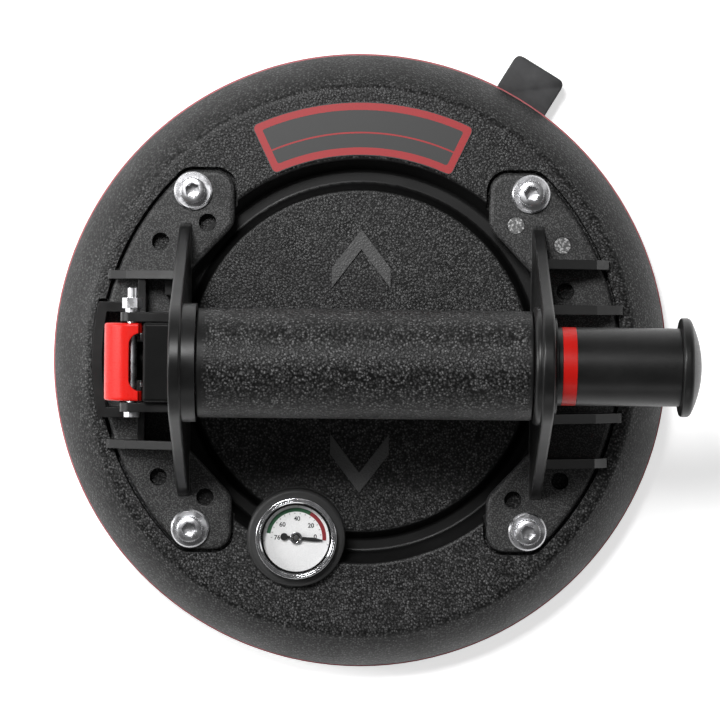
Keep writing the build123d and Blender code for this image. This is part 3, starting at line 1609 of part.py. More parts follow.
sector_root = sector_pitch - tooth_dedendum
sector_angles = [
    -90 + tooth * sector_step
    for tooth in range(-sector_spare_teeth, sector_travel_teeth + sector_spare_teeth + 1)
]
with BuildPart() as sector_gear:
    with BuildSketch(level(arbor_bottom, sector_centre)):
        Circle(arbor_radius)
    extrude(amount=movement_high + movement_plate - stop_gap - arbor_bottom)
    with BuildSketch(level(gear_height, sector_centre)):
        Circle(sector_root)
        sides = [polar(2 * sector_root, sector_angles[0] - sector_step / 2)]
        sides.append(polar(2 * sector_root, sector_angles[-1] + sector_step / 2))
        add(outline([(0, 0), *sides]), mode=Mode.INTERSECT)
        add(gear_teeth(sector_pitch, sector_teeth, sector_angles))
        Circle(sector_hub)
        Rectangle(tail_length + tail_half_width, 2 * tail_half_width, align=(Align.MAX, Align.CENTER))
    extrude(amount=gear_thickness)
    with BuildSketch(level(gear_height, (gauge_x - tail_length, sector_centre[1]))):
        Circle(tail_pin)
    extrude(amount=-(gear_room_low - stop_gap))
sector_gear.part.label = "sector_gear"
export_step(sector_gear.part, "parts/sector_gear.step")

tip_centre = (gauge_x - tube_radius, gauge_y)
link_level = movement_low + movement_plate + gear_room_low / 3
link_run = (tube_radius - tail_length, sector_pivot)
link_length = sqrt(link_run[0] ** 2 + link_run[1] ** 2)
link_plane = Plane(
    origin=(*tip_centre, link_level),
    x_dir=(link_run[0] / link_length, link_run[1] / link_length, 0),
    z_dir=(0, 0, 1),
)
with BuildPart() as gauge_link:
    with BuildSketch(link_plane):
        Circle(tail_pin + 2 * link_half_width - tail_half_width)
        Rectangle(link_length, 2 * link_half_width, align=(Align.MIN, Align.CENTER))
        with Locations((link_length, 0)):
            Circle(tail_pin + link_half_width)
            Circle(tail_pin + run_gap, mode=Mode.SUBTRACT)
    extrude(amount=link_thickness)
gauge_link.part.label = "gauge_link"
export_step(gauge_link.part, "parts/gauge_link.step")

with BuildPart() as movement_frame:
    for plate_level in (movement_low, movement_high):
        with BuildSketch(level(plate_level, gauge_centre)):
            with Locations((0, -movement_front - movement_margin)):
                Rectangle(
                    2 * movement_half_width,
                    movement_front + sector_pivot + movement_back + 2 * movement_margin,
                    align=(Align.CENTER, Align.MIN),
                )
            with Locations((0, 0), (0, sector_pivot)):
                Circle(arbor_radius + run_gap, mode=Mode.SUBTRACT)
        extrude(amount=movement_plate)
    with BuildSketch(level(movement_low, gauge_centre)):
        with Locations((0, -movement_front), (0, sector_pivot + movement_back)):
            Circle(movement_post)
    extrude(amount=dial_height - face_gap - movement_low)
movement_frame.part.label = "movement_frame"
export_step(movement_frame.part, "parts/movement_frame.step")

tube_inner = tube_radius - tube_width / 2
tube_end = tube_root + tube_sweep
tube_mouth = tube_root + 360 + degrees(asin((socket_arm + fit_gap) / tube_inner))
with BuildPart() as bourdon_tube:
    with BuildSketch(level(tube_level, gauge_centre)):
        add(ring_face(tube_inner + tube_width, tube_inner))
        mouth_angles = (tube_end, (tube_end + tube_mouth) / 2, tube_mouth)
        mouth = [polar(2 * tube_radius, angle) for angle in mouth_angles]
        add(outline([(0, 0), *mouth]), mode=Mode.SUBTRACT)
    extrude(amount=tube_height)
    with BuildSketch(level(tube_level, tip_centre)):
        Circle(tip_post)
    extrude(amount=link_level - stop_gap - tube_level)
bourdon_tube.part.label = "bourdon_tube"
export_step(bourdon_tube.part, "parts/bourdon_tube.step")

arm_plane = Plane(
    origin=(gauge_x, gauge_y, case_floor + face_gap),
    x_dir=(cos(radians(tube_root)), sin(radians(tube_root)), 0),
    z_dir=(0, 0, 1),
)
with BuildPart() as gauge_socket:
    with BuildSketch(level(plate_bottom + socket_recess, gauge_centre)):
        Circle(socket_radius)
    extrude(amount=movement_low - face_gap - plate_bottom - socket_recess)
    with BuildSketch(arm_plane):
        Rectangle(tube_radius + tube_width / 2, 2 * socket_arm, align=(Align.MIN, Align.CENTER))
    extrude(amount=tube_level + tube_height - case_floor - face_gap)
    with BuildSketch(level(plate_bottom, gauge_centre)):
        Circle(socket_bore)
    extrude(amount=tube_level + tube_height / 2 - plate_bottom, mode=Mode.SUBTRACT)
gauge_socket.part.label = "gauge_socket"
export_step(gauge_socket.part, "parts/gauge_socket.step")

with BuildPart() as gauge_gasket:
    with BuildSketch(level(well_floor + face_gap, gauge_centre)):
        add(ring_face(socket_radius + fit_gap + gasket_width, socket_radius + fit_gap))
    extrude(amount=gasket_thickness)
gauge_gasket.part.label = "gauge_gasket"
export_step(gauge_gasket.part, "parts/gauge_gasket.step")
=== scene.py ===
"""Looks of the hand-pumped vacuum suction cup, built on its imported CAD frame.

The cup lies with its sealing lip on the floor, its axis along +Z and its handle along X.
Lengths are in metres; sizes written in millimetres are multiplied by MM.
"""

import json
import logging
import math
from dataclasses import dataclass
from enum import Enum
from typing import Sequence

import bmesh
import bpy
from mathutils import Matrix, Vector


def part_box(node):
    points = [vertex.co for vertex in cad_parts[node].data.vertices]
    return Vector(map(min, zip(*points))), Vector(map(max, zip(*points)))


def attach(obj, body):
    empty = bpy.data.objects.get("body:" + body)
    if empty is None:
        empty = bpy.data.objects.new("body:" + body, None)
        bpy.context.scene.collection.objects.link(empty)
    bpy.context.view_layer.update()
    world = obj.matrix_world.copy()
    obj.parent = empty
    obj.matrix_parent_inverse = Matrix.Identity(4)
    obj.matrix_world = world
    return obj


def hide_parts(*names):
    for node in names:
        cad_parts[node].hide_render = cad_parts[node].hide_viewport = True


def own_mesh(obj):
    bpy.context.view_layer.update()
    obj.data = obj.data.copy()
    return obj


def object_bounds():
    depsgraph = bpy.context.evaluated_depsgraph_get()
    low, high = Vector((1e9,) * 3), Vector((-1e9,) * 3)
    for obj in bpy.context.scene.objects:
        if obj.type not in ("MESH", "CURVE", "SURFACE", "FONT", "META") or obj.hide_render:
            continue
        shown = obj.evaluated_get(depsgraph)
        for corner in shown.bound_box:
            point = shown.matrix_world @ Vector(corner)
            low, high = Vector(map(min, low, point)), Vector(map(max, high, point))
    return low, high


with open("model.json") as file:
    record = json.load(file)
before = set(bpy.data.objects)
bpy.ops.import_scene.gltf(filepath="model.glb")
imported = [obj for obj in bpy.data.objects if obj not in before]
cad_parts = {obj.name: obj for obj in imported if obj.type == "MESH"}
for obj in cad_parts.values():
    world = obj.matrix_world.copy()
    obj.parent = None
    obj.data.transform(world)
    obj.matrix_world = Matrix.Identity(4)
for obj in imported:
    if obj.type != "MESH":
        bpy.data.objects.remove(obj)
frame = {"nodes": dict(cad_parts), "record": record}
cad_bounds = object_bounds()

MM = 0.001
PRINT_GAP = 0.005 * MM  # under printed film
TRIM_GAP = 0.01 * MM  # under trim that lies on a face
MERGE = 1e-6  # points nearer than this are joined
ON_AXIS = 1e-9  # radii up to this lie on the axis
log = logging.getLogger("suction_cup")

Point = tuple[float, float]
Point3 = tuple[float, float, float]
Colour = tuple[float, float, float]
Socket = bpy.types.NodeSocket
Material = bpy.types.Material
Object = bpy.types.Object

NOISE_RANGE: Point = (0.3, 0.7)  # where most of a noise's values lie
IDENTITY = Matrix.Identity(4)


class Body(Enum):
    """Rigid bodies of the frame that pieces ride on."""

    HOUSING = "housing"
    NEEDLE = "needle"


class Slot(Enum):
    """Material slots of the record, given with each new piece."""

    SMOOTH = "smooth_black"
    RUBBER = "black_rubber"
    LABEL = "label_film"
    STEEL = "steel"
    CHROME = "chrome_trim"
    DIAL = "dial_white"
    NEEDLE = "needle_black"


# ---------------------------------------------------------------------------
# Node trees
# ---------------------------------------------------------------------------
class Nodes:
    """Short forms for building a node tree."""

    def __init__(self, tree: bpy.types.NodeTree) -> None:
        """Start on an emptied tree."""
        tree.nodes.clear()
        self.tree = tree

    def node(
        self, kind: str, *values: object, settings: dict | None = None, **inputs: object
    ) -> bpy.types.Node:
        """Add a node.

        Args:
            kind: Blender's name of the node type.
            values: values or sources of its first inputs, in order.
            settings: properties of the node itself.
            inputs: values or sources by socket name, with underscores for spaces.

        Returns:
            The new node.
        """
        made = self.tree.nodes.new(kind)
        for key, value in (settings or {}).items():
            setattr(made, key, value)
        for socket, value in (*enumerate(values), *inputs.items()):
            self.feed(made, socket.replace("_", " ") if isinstance(socket, str) else socket, value)
        return made

    def first(self, kind: str, *values: object, **rest: object) -> Socket:
        """Add a node as node() does, and return its first output."""
        return self.node(kind, *values, **rest).outputs[0]

    def feed(self, target: bpy.types.Node, socket: str | int, value: object) -> None:
        """Set a socket, or link it to its source.

        Args:
            target: the node.
            socket: name or place of its input.
            value: value for the socket, or the output to link it to.
        """
        if isinstance(value, Socket):
            self.tree.links.new(value, target.inputs[socket])
        else:
            target.inputs[socket].default_value = value

    def math(self, operation: str, first: object, second: object = 0.0) -> Socket:
        """Arithmetic on two numbers or sockets."""
        return self.first("ShaderNodeMath", first, second, settings={"operation": operation})

    def axis(self, vector: Socket, index: int) -> Socket:
        """One of the three parts of a vector or colour."""
        return self.node("ShaderNodeSeparateXYZ", vector).outputs[index]

    def spread(self, source: Socket, low: float, high: float, to_low: float, to_high: float) -> Socket:
        """Map a range of the source to another range, held at its ends.

        Args:
            source: what is mapped.
            low: the value that becomes to_low.
            high: the value that becomes to_high.
            to_low: result at low.
            to_high: result at high.

        Returns:
            The result.
        """
        ends = {"From_Min": low, "From_Max": high, "To_Min": to_low, "To_Max": to_high}
        return self.first("ShaderNodeMapRange", settings={"clamp": True}, Value=source, **ends)

    def choose(self, share: Socket, first: Socket, second: Socket) -> Socket:
        """Mix of two shaders: the first where the share is 0, the second where it is 1."""
        return self.first("ShaderNodeMixShader", share, first, second)


class ShaderTree(Nodes):
    """Node tree of one new material, on object coordinates."""

    def __init__(self, name: str) -> None:
        """Start an empty material."""
        self.material = bpy.data.materials.new(name)
        self.material.use_nodes = True
        super().__init__(self.material.node_tree)
        self.where = self.node("ShaderNodeTexCoord").outputs["Object"]

    def noise(self, size: float, detail: float = 2.0) -> Socket:
        """Soft noise from 0 to 1, with lumps of a size in metres and finer layers on them."""
        return self.first("ShaderNodeTexNoise", Vector=self.where, Scale=1 / size, Detail=detail)

    def beads(self, size: float, looseness: float = 0.8) -> tuple[Socket, Socket]:
        """Scattered round beads.

        Args:
            size: distance between neighbours, in metres.
            looseness: how quickly their shift changes from one bead to the next.

        Returns:
            The height of each bead's dome, from 0 to 1, and a number from 0 to 1 drawn for each bead.
        """
        top, foot = 0.1, 0.75
        sway = self.node("ShaderNodeTexNoise", Vector=self.where, Scale=looseness / size).outputs["Color"]
        add = {"operation": "MULTIPLY_ADD"}
        shifted = self.first("ShaderNodeVectorMath", sway, (size, size, size), self.where, settings=add)
        cells = self.node("ShaderNodeTexVoronoi", settings={"feature": "F1"}, Vector=shifted, Scale=1 / size)
        dome = self.spread(cells.outputs["Distance"], top, foot, 1.0, 0.0)
        return dome, self.axis(cells.outputs["Color"], 0)

    def ramp(self, source: Socket, stops: Sequence[tuple[float, Colour]]) -> Socket:
        """Colour ramp.

        Args:
            source: what runs along the ramp.
            stops: place and colour of each stop.

        Returns:
            The colour.
        """
        made = self.node("ShaderNodeValToRGB", source)
        elements = made.color_ramp.elements
        while len(elements) < len(stops):
            elements.new(0.5)
        for element, (place, colour) in zip(elements, stops):
            element.position = place
            element.color = (*colour, 1.0)
        return made.outputs["Color"]

    def tones(self, source: Socket, low: Colour, high: Colour, within: Point = NOISE_RANGE) -> Socket:
        """Colour that runs from low to high over a range of the source."""
        return self.ramp(source, list(zip(within, (low, high))))

    def uneven(self, source: Socket, level: float, swing: Point, within: Point = NOISE_RANGE) -> Socket:
        """Level that departs by the two values of swing over a range of the source."""
        return self.spread(source, *within, level + swing[0], level + swing[1])

    def sway(self, source: Socket, reach: float) -> Socket:
        """Noise made to swing about nought."""
        return self.math("MULTIPLY", self.math("SUBTRACT", source, 0.5), reach)

    def mix(self, share: object, first: object, second: object) -> Socket:
        """Blend of two colours.

        Args:
            share: 0 for the first colour, 1 for the second.
            first: first colour.
            second: second colour.

        Returns:
            The colour.
        """
        made = self.node("ShaderNodeMix", share, settings={"data_type": "RGBA"})
        first_place, second_place, result = 6, 7, 2
        self.feed(made, first_place, first)
        self.feed(made, second_place, second)
        return made.outputs[result]

    def radius(self, x: float = 0.0, y: float = 0.0) -> Socket:
        """Distance from an upright line.

        Args:
            x: the line's place along X.
            y: the line's place along Y.

        Returns:
            The distance.
        """
        lines = enumerate((x, y))
        aways = [self.math("SUBTRACT", self.axis(self.where, place), line) for place, line in lines]
        return self.math("SQRT", self.math("ADD", *(self.math("MULTIPLY", away, away) for away in aways)))

    def bump(self, height: Socket, depth: float, strength: object = 1.0, edge: float = 0.0) -> Socket:
        """Normal from a height field, over softly rounded edges.

        Args:
            height: socket from 0 to 1.
            depth: relief in metres.
            strength: share of the relief, a number or a socket.
            edge: radius of the rounding at sharp edges, in metres.

        Returns:
            The normal.
        """
        made = self.node("ShaderNodeBump", Height=height, Distance=depth, Strength=strength)
        if edge > 0:
            self.feed(made, "Normal", self.first("ShaderNodeBevel", settings={"samples": 4}, Radius=edge))
        return made.outputs["Normal"]

    def close(self, shader: Socket) -> Material:
        """Put a shader on the material's surface and return the material."""
        self.node("ShaderNodeOutputMaterial", Surface=shader)
        return self.material

    def surface(self, **inputs: object) -> Material:
        """Close the material with a Principled shader and return it."""
        return self.close(self.first("ShaderNodeBsdfPrincipled", **inputs))


class NodeRecipe(Nodes):
    """A Geometry Nodes tree with named inputs, ending in Realize Instances and Set Material."""

    def __init__(self, name: str, sizes: dict[str, float]) -> None:
        """Start the tree with its geometry in and out.

        Args:
            name: name of the tree.
            sizes: value of each named input; a whole number makes a whole-number input.
        """
        super().__init__(bpy.data.node_groups.new(name, "GeometryNodeTree"))
        self.sizes = sizes
        for in_out in ("OUTPUT", "INPUT"):
            self.tree.interface.new_socket("Geometry", in_out=in_out, socket_type="NodeSocketGeometry")
        for size, value in sizes.items():
            kind = "NodeSocketInt" if isinstance(value, int) else "NodeSocketFloat"
            self.tree.interface.new_socket(size, in_out="INPUT", socket_type=kind).default_value = value
        self.entry = self.tree.nodes.new("NodeGroupInput")

    def feed(self, target: bpy.types.Node, socket: str | int, value: object) -> None:
        """Set or link one socket; a word is the name of one of the tree's own inputs."""
        super().feed(target, socket, self.entry.outputs[value] if isinstance(value, str) else value)

    def vector(self, x: object = 0.0, y: object = 0.0, z: object = 0.0) -> Socket:
        """A vector of three values."""
        return self.first("ShaderNodeCombineXYZ", x, y, z)

    def run(self, geometry: Socket, material: Material, base: Object, name: str) -> Object:
        """Close the tree, run it on an object and keep its result as a plain mesh.

        Args:
            geometry: what the tree has built.
            material: material of all its faces.
            base: object that carries the tree for a moment.
            name: name of the finished piece.

        Returns:
            The finished piece, with no modifier.
        """
        realized = self.first("GeometryNodeRealizeInstances", geometry)
        dressed = self.first("GeometryNodeSetMaterial", Geometry=realized, Material=material)
        self.node("NodeGroupOutput", dressed)
        modifier = base.modifiers.new(name, "NODES")
        modifier.node_group = self.tree
        for item in self.tree.interface.items_tree:
            if item.item_type == "SOCKET" and item.in_out == "INPUT" and item.name in self.sizes:
                modifier[item.identifier] = self.sizes[item.name]
        return mesh_object(name, plain_mesh(base))


# ---------------------------------------------------------------------------
# Finishes
# ---------------------------------------------------------------------------
def grey(level: float) -> Colour:
    """Neutral colour."""
    return (level, level, level)


def opaque(level: float) -> tuple[float, float, float, float]:
    """Neutral colour for a colour socket."""
    return (*grey(level), 1.0)


def scaled(colour: Colour, share: float) -> Colour:
    """Colour made darker or lighter."""
    return tuple(part * share for part in colour)


@dataclass(frozen=True)
class GrainWithGlints:
    """Spark-eroded grain: bead tops painted bright as glints, scattered on a near-black ground.

    size and relief are in metres, ground, body and bead are grey levels. flank is the level of the
    beads' sides in bodies, and dimmest the share of light on the dimmest bead. drift and mottle are
    the reach of broad and of fine changes, which are so many beads across.
    """

    size: float = 0.72 * MM
    relief: float = 0.12 * MM
    ground: float = 0.002
    body: float = 0.016
    # painted glint: grey level of the bead tops
    bead: float = 0.10
    flank: float = 2.8
    stops: tuple[float, ...] = (0.05, 0.3, 0.55, 0.85)
    dimmest: float = 0.4
    drift: float = 0.25
    mottle: float = 0.6
    drift_beads: float = 9.0
    mottle_beads: float = 0.9

    def lay(self, tree: ShaderTree) -> tuple[Socket, Socket]:
        """Build the grain.

        Args:
            tree: the material being built.

        Returns:
            The colour and the height.
        """
        dome, chance = tree.beads(self.size)
        fine = tree.sway(tree.noise(self.size * self.mottle_beads, detail=1.0), self.mottle)
        broad = tree.sway(tree.noise(self.size * self.drift_beads, detail=2.0), self.drift)
        share = tree.math("ADD", tree.math("MULTIPLY", chance, 1 - self.dimmest), self.dimmest)
        lit = tree.math("MULTIPLY", dome, share)
        tone = tree.math("ADD", lit, tree.math("ADD", broad, fine))
        # the bead tops take the bright level, a painted glint on each bead
        levels = (self.ground, self.body, self.body * self.flank, self.bead)
        return tree.ramp(tone, [(place, grey(level)) for place, level in zip(self.stops, levels)]), lit


@dataclass(frozen=True)
class GrainedPlastic:
    """Moulded plastic, grained all over; swing is how far its roughness departs."""

    name: str
    grain: GrainWithGlints = GrainWithGlints()
    roughness: float = 0.42
    edge: float = 0.35 * MM
    shine: float = 0.25
    patch: float = 9 * MM
    swing: Point = (-0.06, 0.08)

    def material(self) -> Material:
        """Build the material.

        Returns:
            The material.
        """
        tree = ShaderTree(self.name)
        colour, height = self.grain.lay(tree)
        rough = tree.uneven(tree.noise(self.patch, detail=3.0), self.roughness, self.swing)
        normal = tree.bump(height, self.grain.relief, edge=self.edge)
        return tree.surface(Base_Color=colour, Roughness=rough, Normal=normal, Specular_IOR_Level=self.shine)


@dataclass(frozen=True)
class GripTexture:
    """Grip sleeve along X: grained along its middle, plain near both ends.

    The grain fades in and out between the places in first_fade and last_fade, which are in plain
    lengths from the sleeve's ends. wander is how far that border strays.
    """

    name: str
    start: float
    end: float
    plain: float = 1.6 * MM
    grain: GrainWithGlints = GrainWithGlints(0.78 * MM, 0.16 * MM, 0.002, 0.018, 0.14)
    first_fade: Point = (1.0, 2.4)
    last_fade: Point = (-1.4, -0.4)
    wander: float = 2.5 * MM
    patch: float = 4 * MM
    smooth: float = 0.006
    roughness: float = 0.42
    swing: Point = (-0.05, 0.1)
    edge: float = 0.3 * MM
    shine: float = 0.2

    def material(self) -> Material:
        """Build the material.

        Returns:
            The material.
        """
        tree = ShaderTree(self.name)
        grain_with_glints, height = self.grain.lay(tree)
        worn = tree.noise(self.patch, detail=3.0)
        along = tree.math("ADD", tree.axis(tree.where, 0), tree.sway(worn, self.wander))
        first = tree.spread(along, *(self.start + self.plain * place for place in self.first_fade), 0.0, 1.0)
        last = tree.spread(along, *(self.end + self.plain * place for place in self.last_fade), 1.0, 0.0)
        grained = tree.math("MULTIPLY", first, last)
        colour = tree.mix(grained, opaque(self.smooth), grain_with_glints)
        rough = tree.uneven(worn, self.roughness, self.swing)
        normal = tree.bump(height, self.grain.relief, grained, self.edge)
        return tree.surface(Base_Color=colour, Roughness=rough, Normal=normal, Specular_IOR_Level=self.shine)


@dataclass(frozen=True)
class PlatePlastic:
    """The base plate's plastic: grained ring and centre, plain groove and gauge boss, fine slope.

    centre, ring and slope are the radii where the grain stops, starts again and weakens. boss is the
    gauge boss's place and radius, and raised the height that the chevrons in the centre stand above.
    The groove is painted a darker grey as shade, and the chevrons' tops lighter as a painted highlight.
    """

    name: str
    centre: float = 55.2 * MM
    ring: float = 65.0 * MM
    slope: float = 88.0 * MM
    boss: Point3 = (-20.0 * MM, -56.7 * MM, 15.9 * MM)
    raised: float = 21.2 * MM
    grain: GrainWithGlints = GrainWithGlints()
    # painted shade: the groove's smooth grey, darker than the grained plastic
    plain: float = 0.005
    boss_grey: float = 0.028
    emblem_highlight_grey: float = 0.065
    slope_share: float = 0.6
    slope_run: float = 6 * MM
    border: float = 0.6 * MM
    brink: float = 0.2 * MM
    patch: float = 11 * MM
    roughness: float = 0.42
    swing: Point = (-0.06, 0.06)
    edge: float = 0.3 * MM
    shine: float = 0.25

    def material(self) -> Material:
        """Build the material.

        Returns:
            The material.
        """
        tree = ShaderTree(self.name)
        out = tree.radius()
        grain_with_glints, height = self.grain.lay(tree)
        inside = tree.spread(out, self.centre - self.border, self.centre, 1.0, 0.0)
        outside = tree.spread(out, self.ring, self.ring + self.border, 0.0, 1.0)
        grained = tree.math("MAXIMUM", inside, outside)
        slope = tree.spread(out, self.slope, self.slope + self.slope_run, 1.0, self.slope_share)
        x, y, reach = self.boss
        off_boss = tree.spread(tree.radius(x, y), reach - self.brink, reach + self.brink, 0.0, 1.0)
        strength = tree.math("MULTIPLY", tree.math("MULTIPLY", grained, slope), off_boss)
        # painted shade: the groove and its walls take the darker plain grey
        colour = tree.mix(grained, opaque(self.plain), opaque(self.grain.body))
        colour = tree.mix(strength, colour, grain_with_glints)
        colour = tree.mix(off_boss, opaque(self.boss_grey), colour)
        lifted = tree.spread(tree.axis(tree.where, 2), self.raised, self.raised + self.brink, 0.0, 1.0)
        emblem = tree.math("MULTIPLY", tree.math("MULTIPLY", lifted, inside), off_boss)
        # painted highlight: the raised chevrons' tops take a lighter grey
        colour = tree.mix(emblem, colour, opaque(self.emblem_highlight_grey))
        rough = tree.uneven(tree.noise(self.patch, detail=3.0), self.roughness, self.swing)
        normal = tree.bump(height, self.grain.relief, strength, self.edge)
        return tree.surface(Base_Color=colour, Roughness=rough, Normal=normal, Specular_IOR_Level=self.shine)


@dataclass(frozen=True)
class SmoothPlastic:
    """Smooth moulded plastic with faint flow marks and fine scuffs."""

    name: str
    colour: Colour
    roughness: float = 0.36
    variation: float = 0.25
    edge: float = 0.35 * MM
    relief: float = 0.02 * MM
    coat: float = 0.0
    shine: float = 0.4
    flow: float = 7 * MM
    scuff: float = 0.35 * MM
    scuff_range: Point = (0.35, 0.7)
    scuff_share: float = 0.6
    swing: Point = (-0.05, 0.1)
    coat_roughness: float = 0.12

    def material(self) -> Material:
        """Build the material.

        Returns:
            The material.
        """
        tree = ShaderTree(self.name)
        flow, scuffs = (tree.noise(size, detail=4.0) for size in (self.flow, self.scuff))
        dark, light = (scaled(self.colour, 1 + change) for change in (-self.variation, self.variation))
        return tree.surface(
            Base_Color=tree.tones(flow, dark, light),
            Roughness=tree.uneven(scuffs, self.roughness, self.swing, self.scuff_range),
            Normal=tree.bump(scuffs, self.relief, self.scuff_share, self.edge),
            Specular_IOR_Level=self.shine,
            Coat_Weight=self.coat,
            Coat_Roughness=self.coat_roughness,
        )


@dataclass(frozen=True)
class BracketPlastic:
    """Bracket plastic: finely grained feet up to foot_top, painted lighter as lit flats, under arches
    painted darker as shade.
    """

    name: str
    foot_top: float = 28.2 * MM
    grain: GrainWithGlints = GrainWithGlints(0.5 * MM, 0.04 * MM, 0.018, 0.030, 0.060)
    # painted shade: the arches' grey, darker than the feet
    polished: float = 0.007
    arch_shade_range: Point = (0.8, 1.3)
    foot_roughness: float = 0.44
    arch_roughness: float = 0.33
    swing: Point = (-0.04, 0.06)
    flow: float = 7 * MM
    fade: float = 1 * MM
    edge: float = 0.35 * MM
    shine: float = 0.25

    def material(self) -> Material:
        """Build the material.

        Returns:
            The material.
        """
        tree = ShaderTree(self.name)
        grain_with_glints, height = self.grain.lay(tree)
        flow = tree.noise(self.flow, detail=4.0)
        # painted light and shade: feet below foot_top lighter, arches above darker
        foot = tree.spread(tree.axis(tree.where, 2), self.foot_top, self.foot_top + self.fade, 1.0, 0.0)
        dark, light = (grey(self.polished * share) for share in self.arch_shade_range)
        colour = tree.mix(foot, tree.tones(flow, dark, light), grain_with_glints)
        rough = tree.spread(foot, 0.0, 1.0, self.arch_roughness, self.foot_roughness)
        rough = tree.math("ADD", rough, tree.uneven(flow, 0.0, self.swing))
        normal = tree.bump(height, self.grain.relief, foot, self.edge)
        return tree.surface(Base_Color=colour, Roughness=rough, Normal=normal, Specular_IOR_Level=self.shine)


@dataclass(frozen=True)
class Rubber:
    """Matt rubber or felt with a dusty bloom."""

    name: str
    colour: Colour = (0.018, 0.018, 0.019)
    bloom: Colour = (0.05, 0.05, 0.052)
    roughness: float = 0.62
    swing: Point = (0.0, 0.15)
    bloom_range: Point = (0.35, 0.75)
    patch: float = 5 * MM
    skin: float = 0.5 * MM
    skin_share: float = 0.6
    relief: float = 0.04 * MM
    edge: float = 0.25 * MM

    def material(self) -> Material:
        """Build the material.

        Returns:
            The material.
        """
        tree = ShaderTree(self.name)
        dust = tree.noise(self.patch, detail=5.0)
        colour = tree.tones(dust, self.colour, self.bloom, self.bloom_range)
        rough = tree.uneven(dust, self.roughness, self.swing)
        skin = tree.noise(self.skin, detail=3.0)
        normal = tree.bump(skin, self.relief, self.skin_share, self.edge)
        return tree.surface(Base_Color=colour, Roughness=rough, Normal=normal)


@dataclass(frozen=True)
class Metal:
    """Plated, drawn or turned metal with fine tool marks."""

    name: str
    colour: Colour
    roughness: float = 0.24
    marks: float = 0.3 * MM
    relief: float = 0.01 * MM
    edge: float = 0.15 * MM
    mark_share: float = 0.5
    dulling: float = 0.82
    tarnish: float = 3 * MM
    tarnish_range: Point = (0.3, 0.65)
    swing: Point = (0.0, 0.12)

    def material(self) -> Material:
        """Build the material.

        Returns:
            The material.
        """
        tree = ShaderTree(self.name)
        tarnish = tree.noise(self.tarnish, detail=3.0)
        colour = tree.tones(tarnish, scaled(self.colour, self.dulling), self.colour, self.tarnish_range)
        rough = tree.uneven(tarnish, self.roughness, self.swing)
        marks = tree.noise(self.marks, detail=3.0)
        normal = tree.bump(marks, self.relief, self.mark_share, self.edge)
        return tree.surface(Base_Color=colour, Roughness=rough, Normal=normal, Metallic=1.0)


@dataclass(frozen=True)
class PrintedInk:
    """Printed surface with a fine uneven lay of ink."""

    name: str
    colour: Colour
    roughness: float = 0.4
    lay: float = 0.4 * MM
    thinnest: float = 0.9
    swing: Point = (-0.04, 0.06)

    def material(self) -> Material:
        """Build the material.

        Returns:
            The material.
        """
        tree = ShaderTree(self.name)
        lay = tree.noise(self.lay, detail=4.0)
        colour = tree.tones(lay, scaled(self.colour, self.thinnest), self.colour)
        return tree.surface(Base_Color=colour, Roughness=tree.uneven(lay, self.roughness, self.swing))


@dataclass(frozen=True)
class ClearLens:
    """Clear moulded window: mostly see-through, with a glossy face."""

    name: str
    tint: tuple[float, float, float, float] = (0.04, 0.04, 0.045, 1.0)
    cover: float = 0.05
    bending: float = 1.49
    haze: float = 2 * MM
    roughness: Point = (0.02, 0.06)

    def material(self) -> Material:
        """Build the material.

        Returns:
            The material.
        """
        tree = ShaderTree(self.name)
        rough = tree.uneven(tree.noise(self.haze), 0.0, self.roughness)
        return tree.surface(Roughness=rough, Base_Color=self.tint, Alpha=self.cover, IOR=self.bending)


SLOT_FINISHES = {
    "moulded_black": GrainedPlastic("moulded black plastic"),
    "smooth_black": SmoothPlastic("smooth black plastic", grey(0.009), 0.34, shine=0.25),
    "black_rubber": Rubber("black rubber"),
    "grip_rubber": GripTexture("grip sleeve rubber", -50.3 * MM, 52.3 * MM),
    "red_ring": SmoothPlastic("dusky red edge ring", (0.42, 0.10, 0.11), 0.5, 0.1),
    "red_plastic": SmoothPlastic(
        "glossy red plastic", (0.60, 0.009, 0.005), 0.30, 0.06, 0.6 * MM, 0.01 * MM, 0.05, 0.2
    ),
    "grey_plastic": SmoothPlastic("grey plastic pins", grey(0.22), 0.45, 0.12),
    "label_film": PrintedInk("label film, dark field", grey(0.030), 0.45),
    "steel": Metal("zinc-plated steel", (0.68, 0.68, 0.70), 0.22, relief=0.004 * MM),
    "alloy": Metal("anodised alloy", (0.62, 0.62, 0.64), 0.32),
    "brass": Metal("brass", (0.78, 0.58, 0.26), 0.3),
    "filter_felt": Rubber("filter felt", (0.25, 0.24, 0.22), (0.4, 0.39, 0.36), 0.85),
    "chrome_trim": Metal("chromed trim", (0.78, 0.78, 0.80), 0.12, relief=0.0003 * MM, edge=0.0),
    "clear_lens": ClearLens("clear lens"),
    "dial_white": PrintedInk("dial, white enamel", grey(0.93), 0.5),
    "needle_black": SmoothPlastic("black needle lacquer", grey(0.012), 0.35, 0.1, 0.05 * MM),
}
# painted shade: a black darker than the other black plastic, for the valve block's shaded recess and the
# ring inside the gauge bezel
VALVE_BLOCK_SHADED = SmoothPlastic("valve block plastic", grey(0.003), 0.4, shine=0.1)
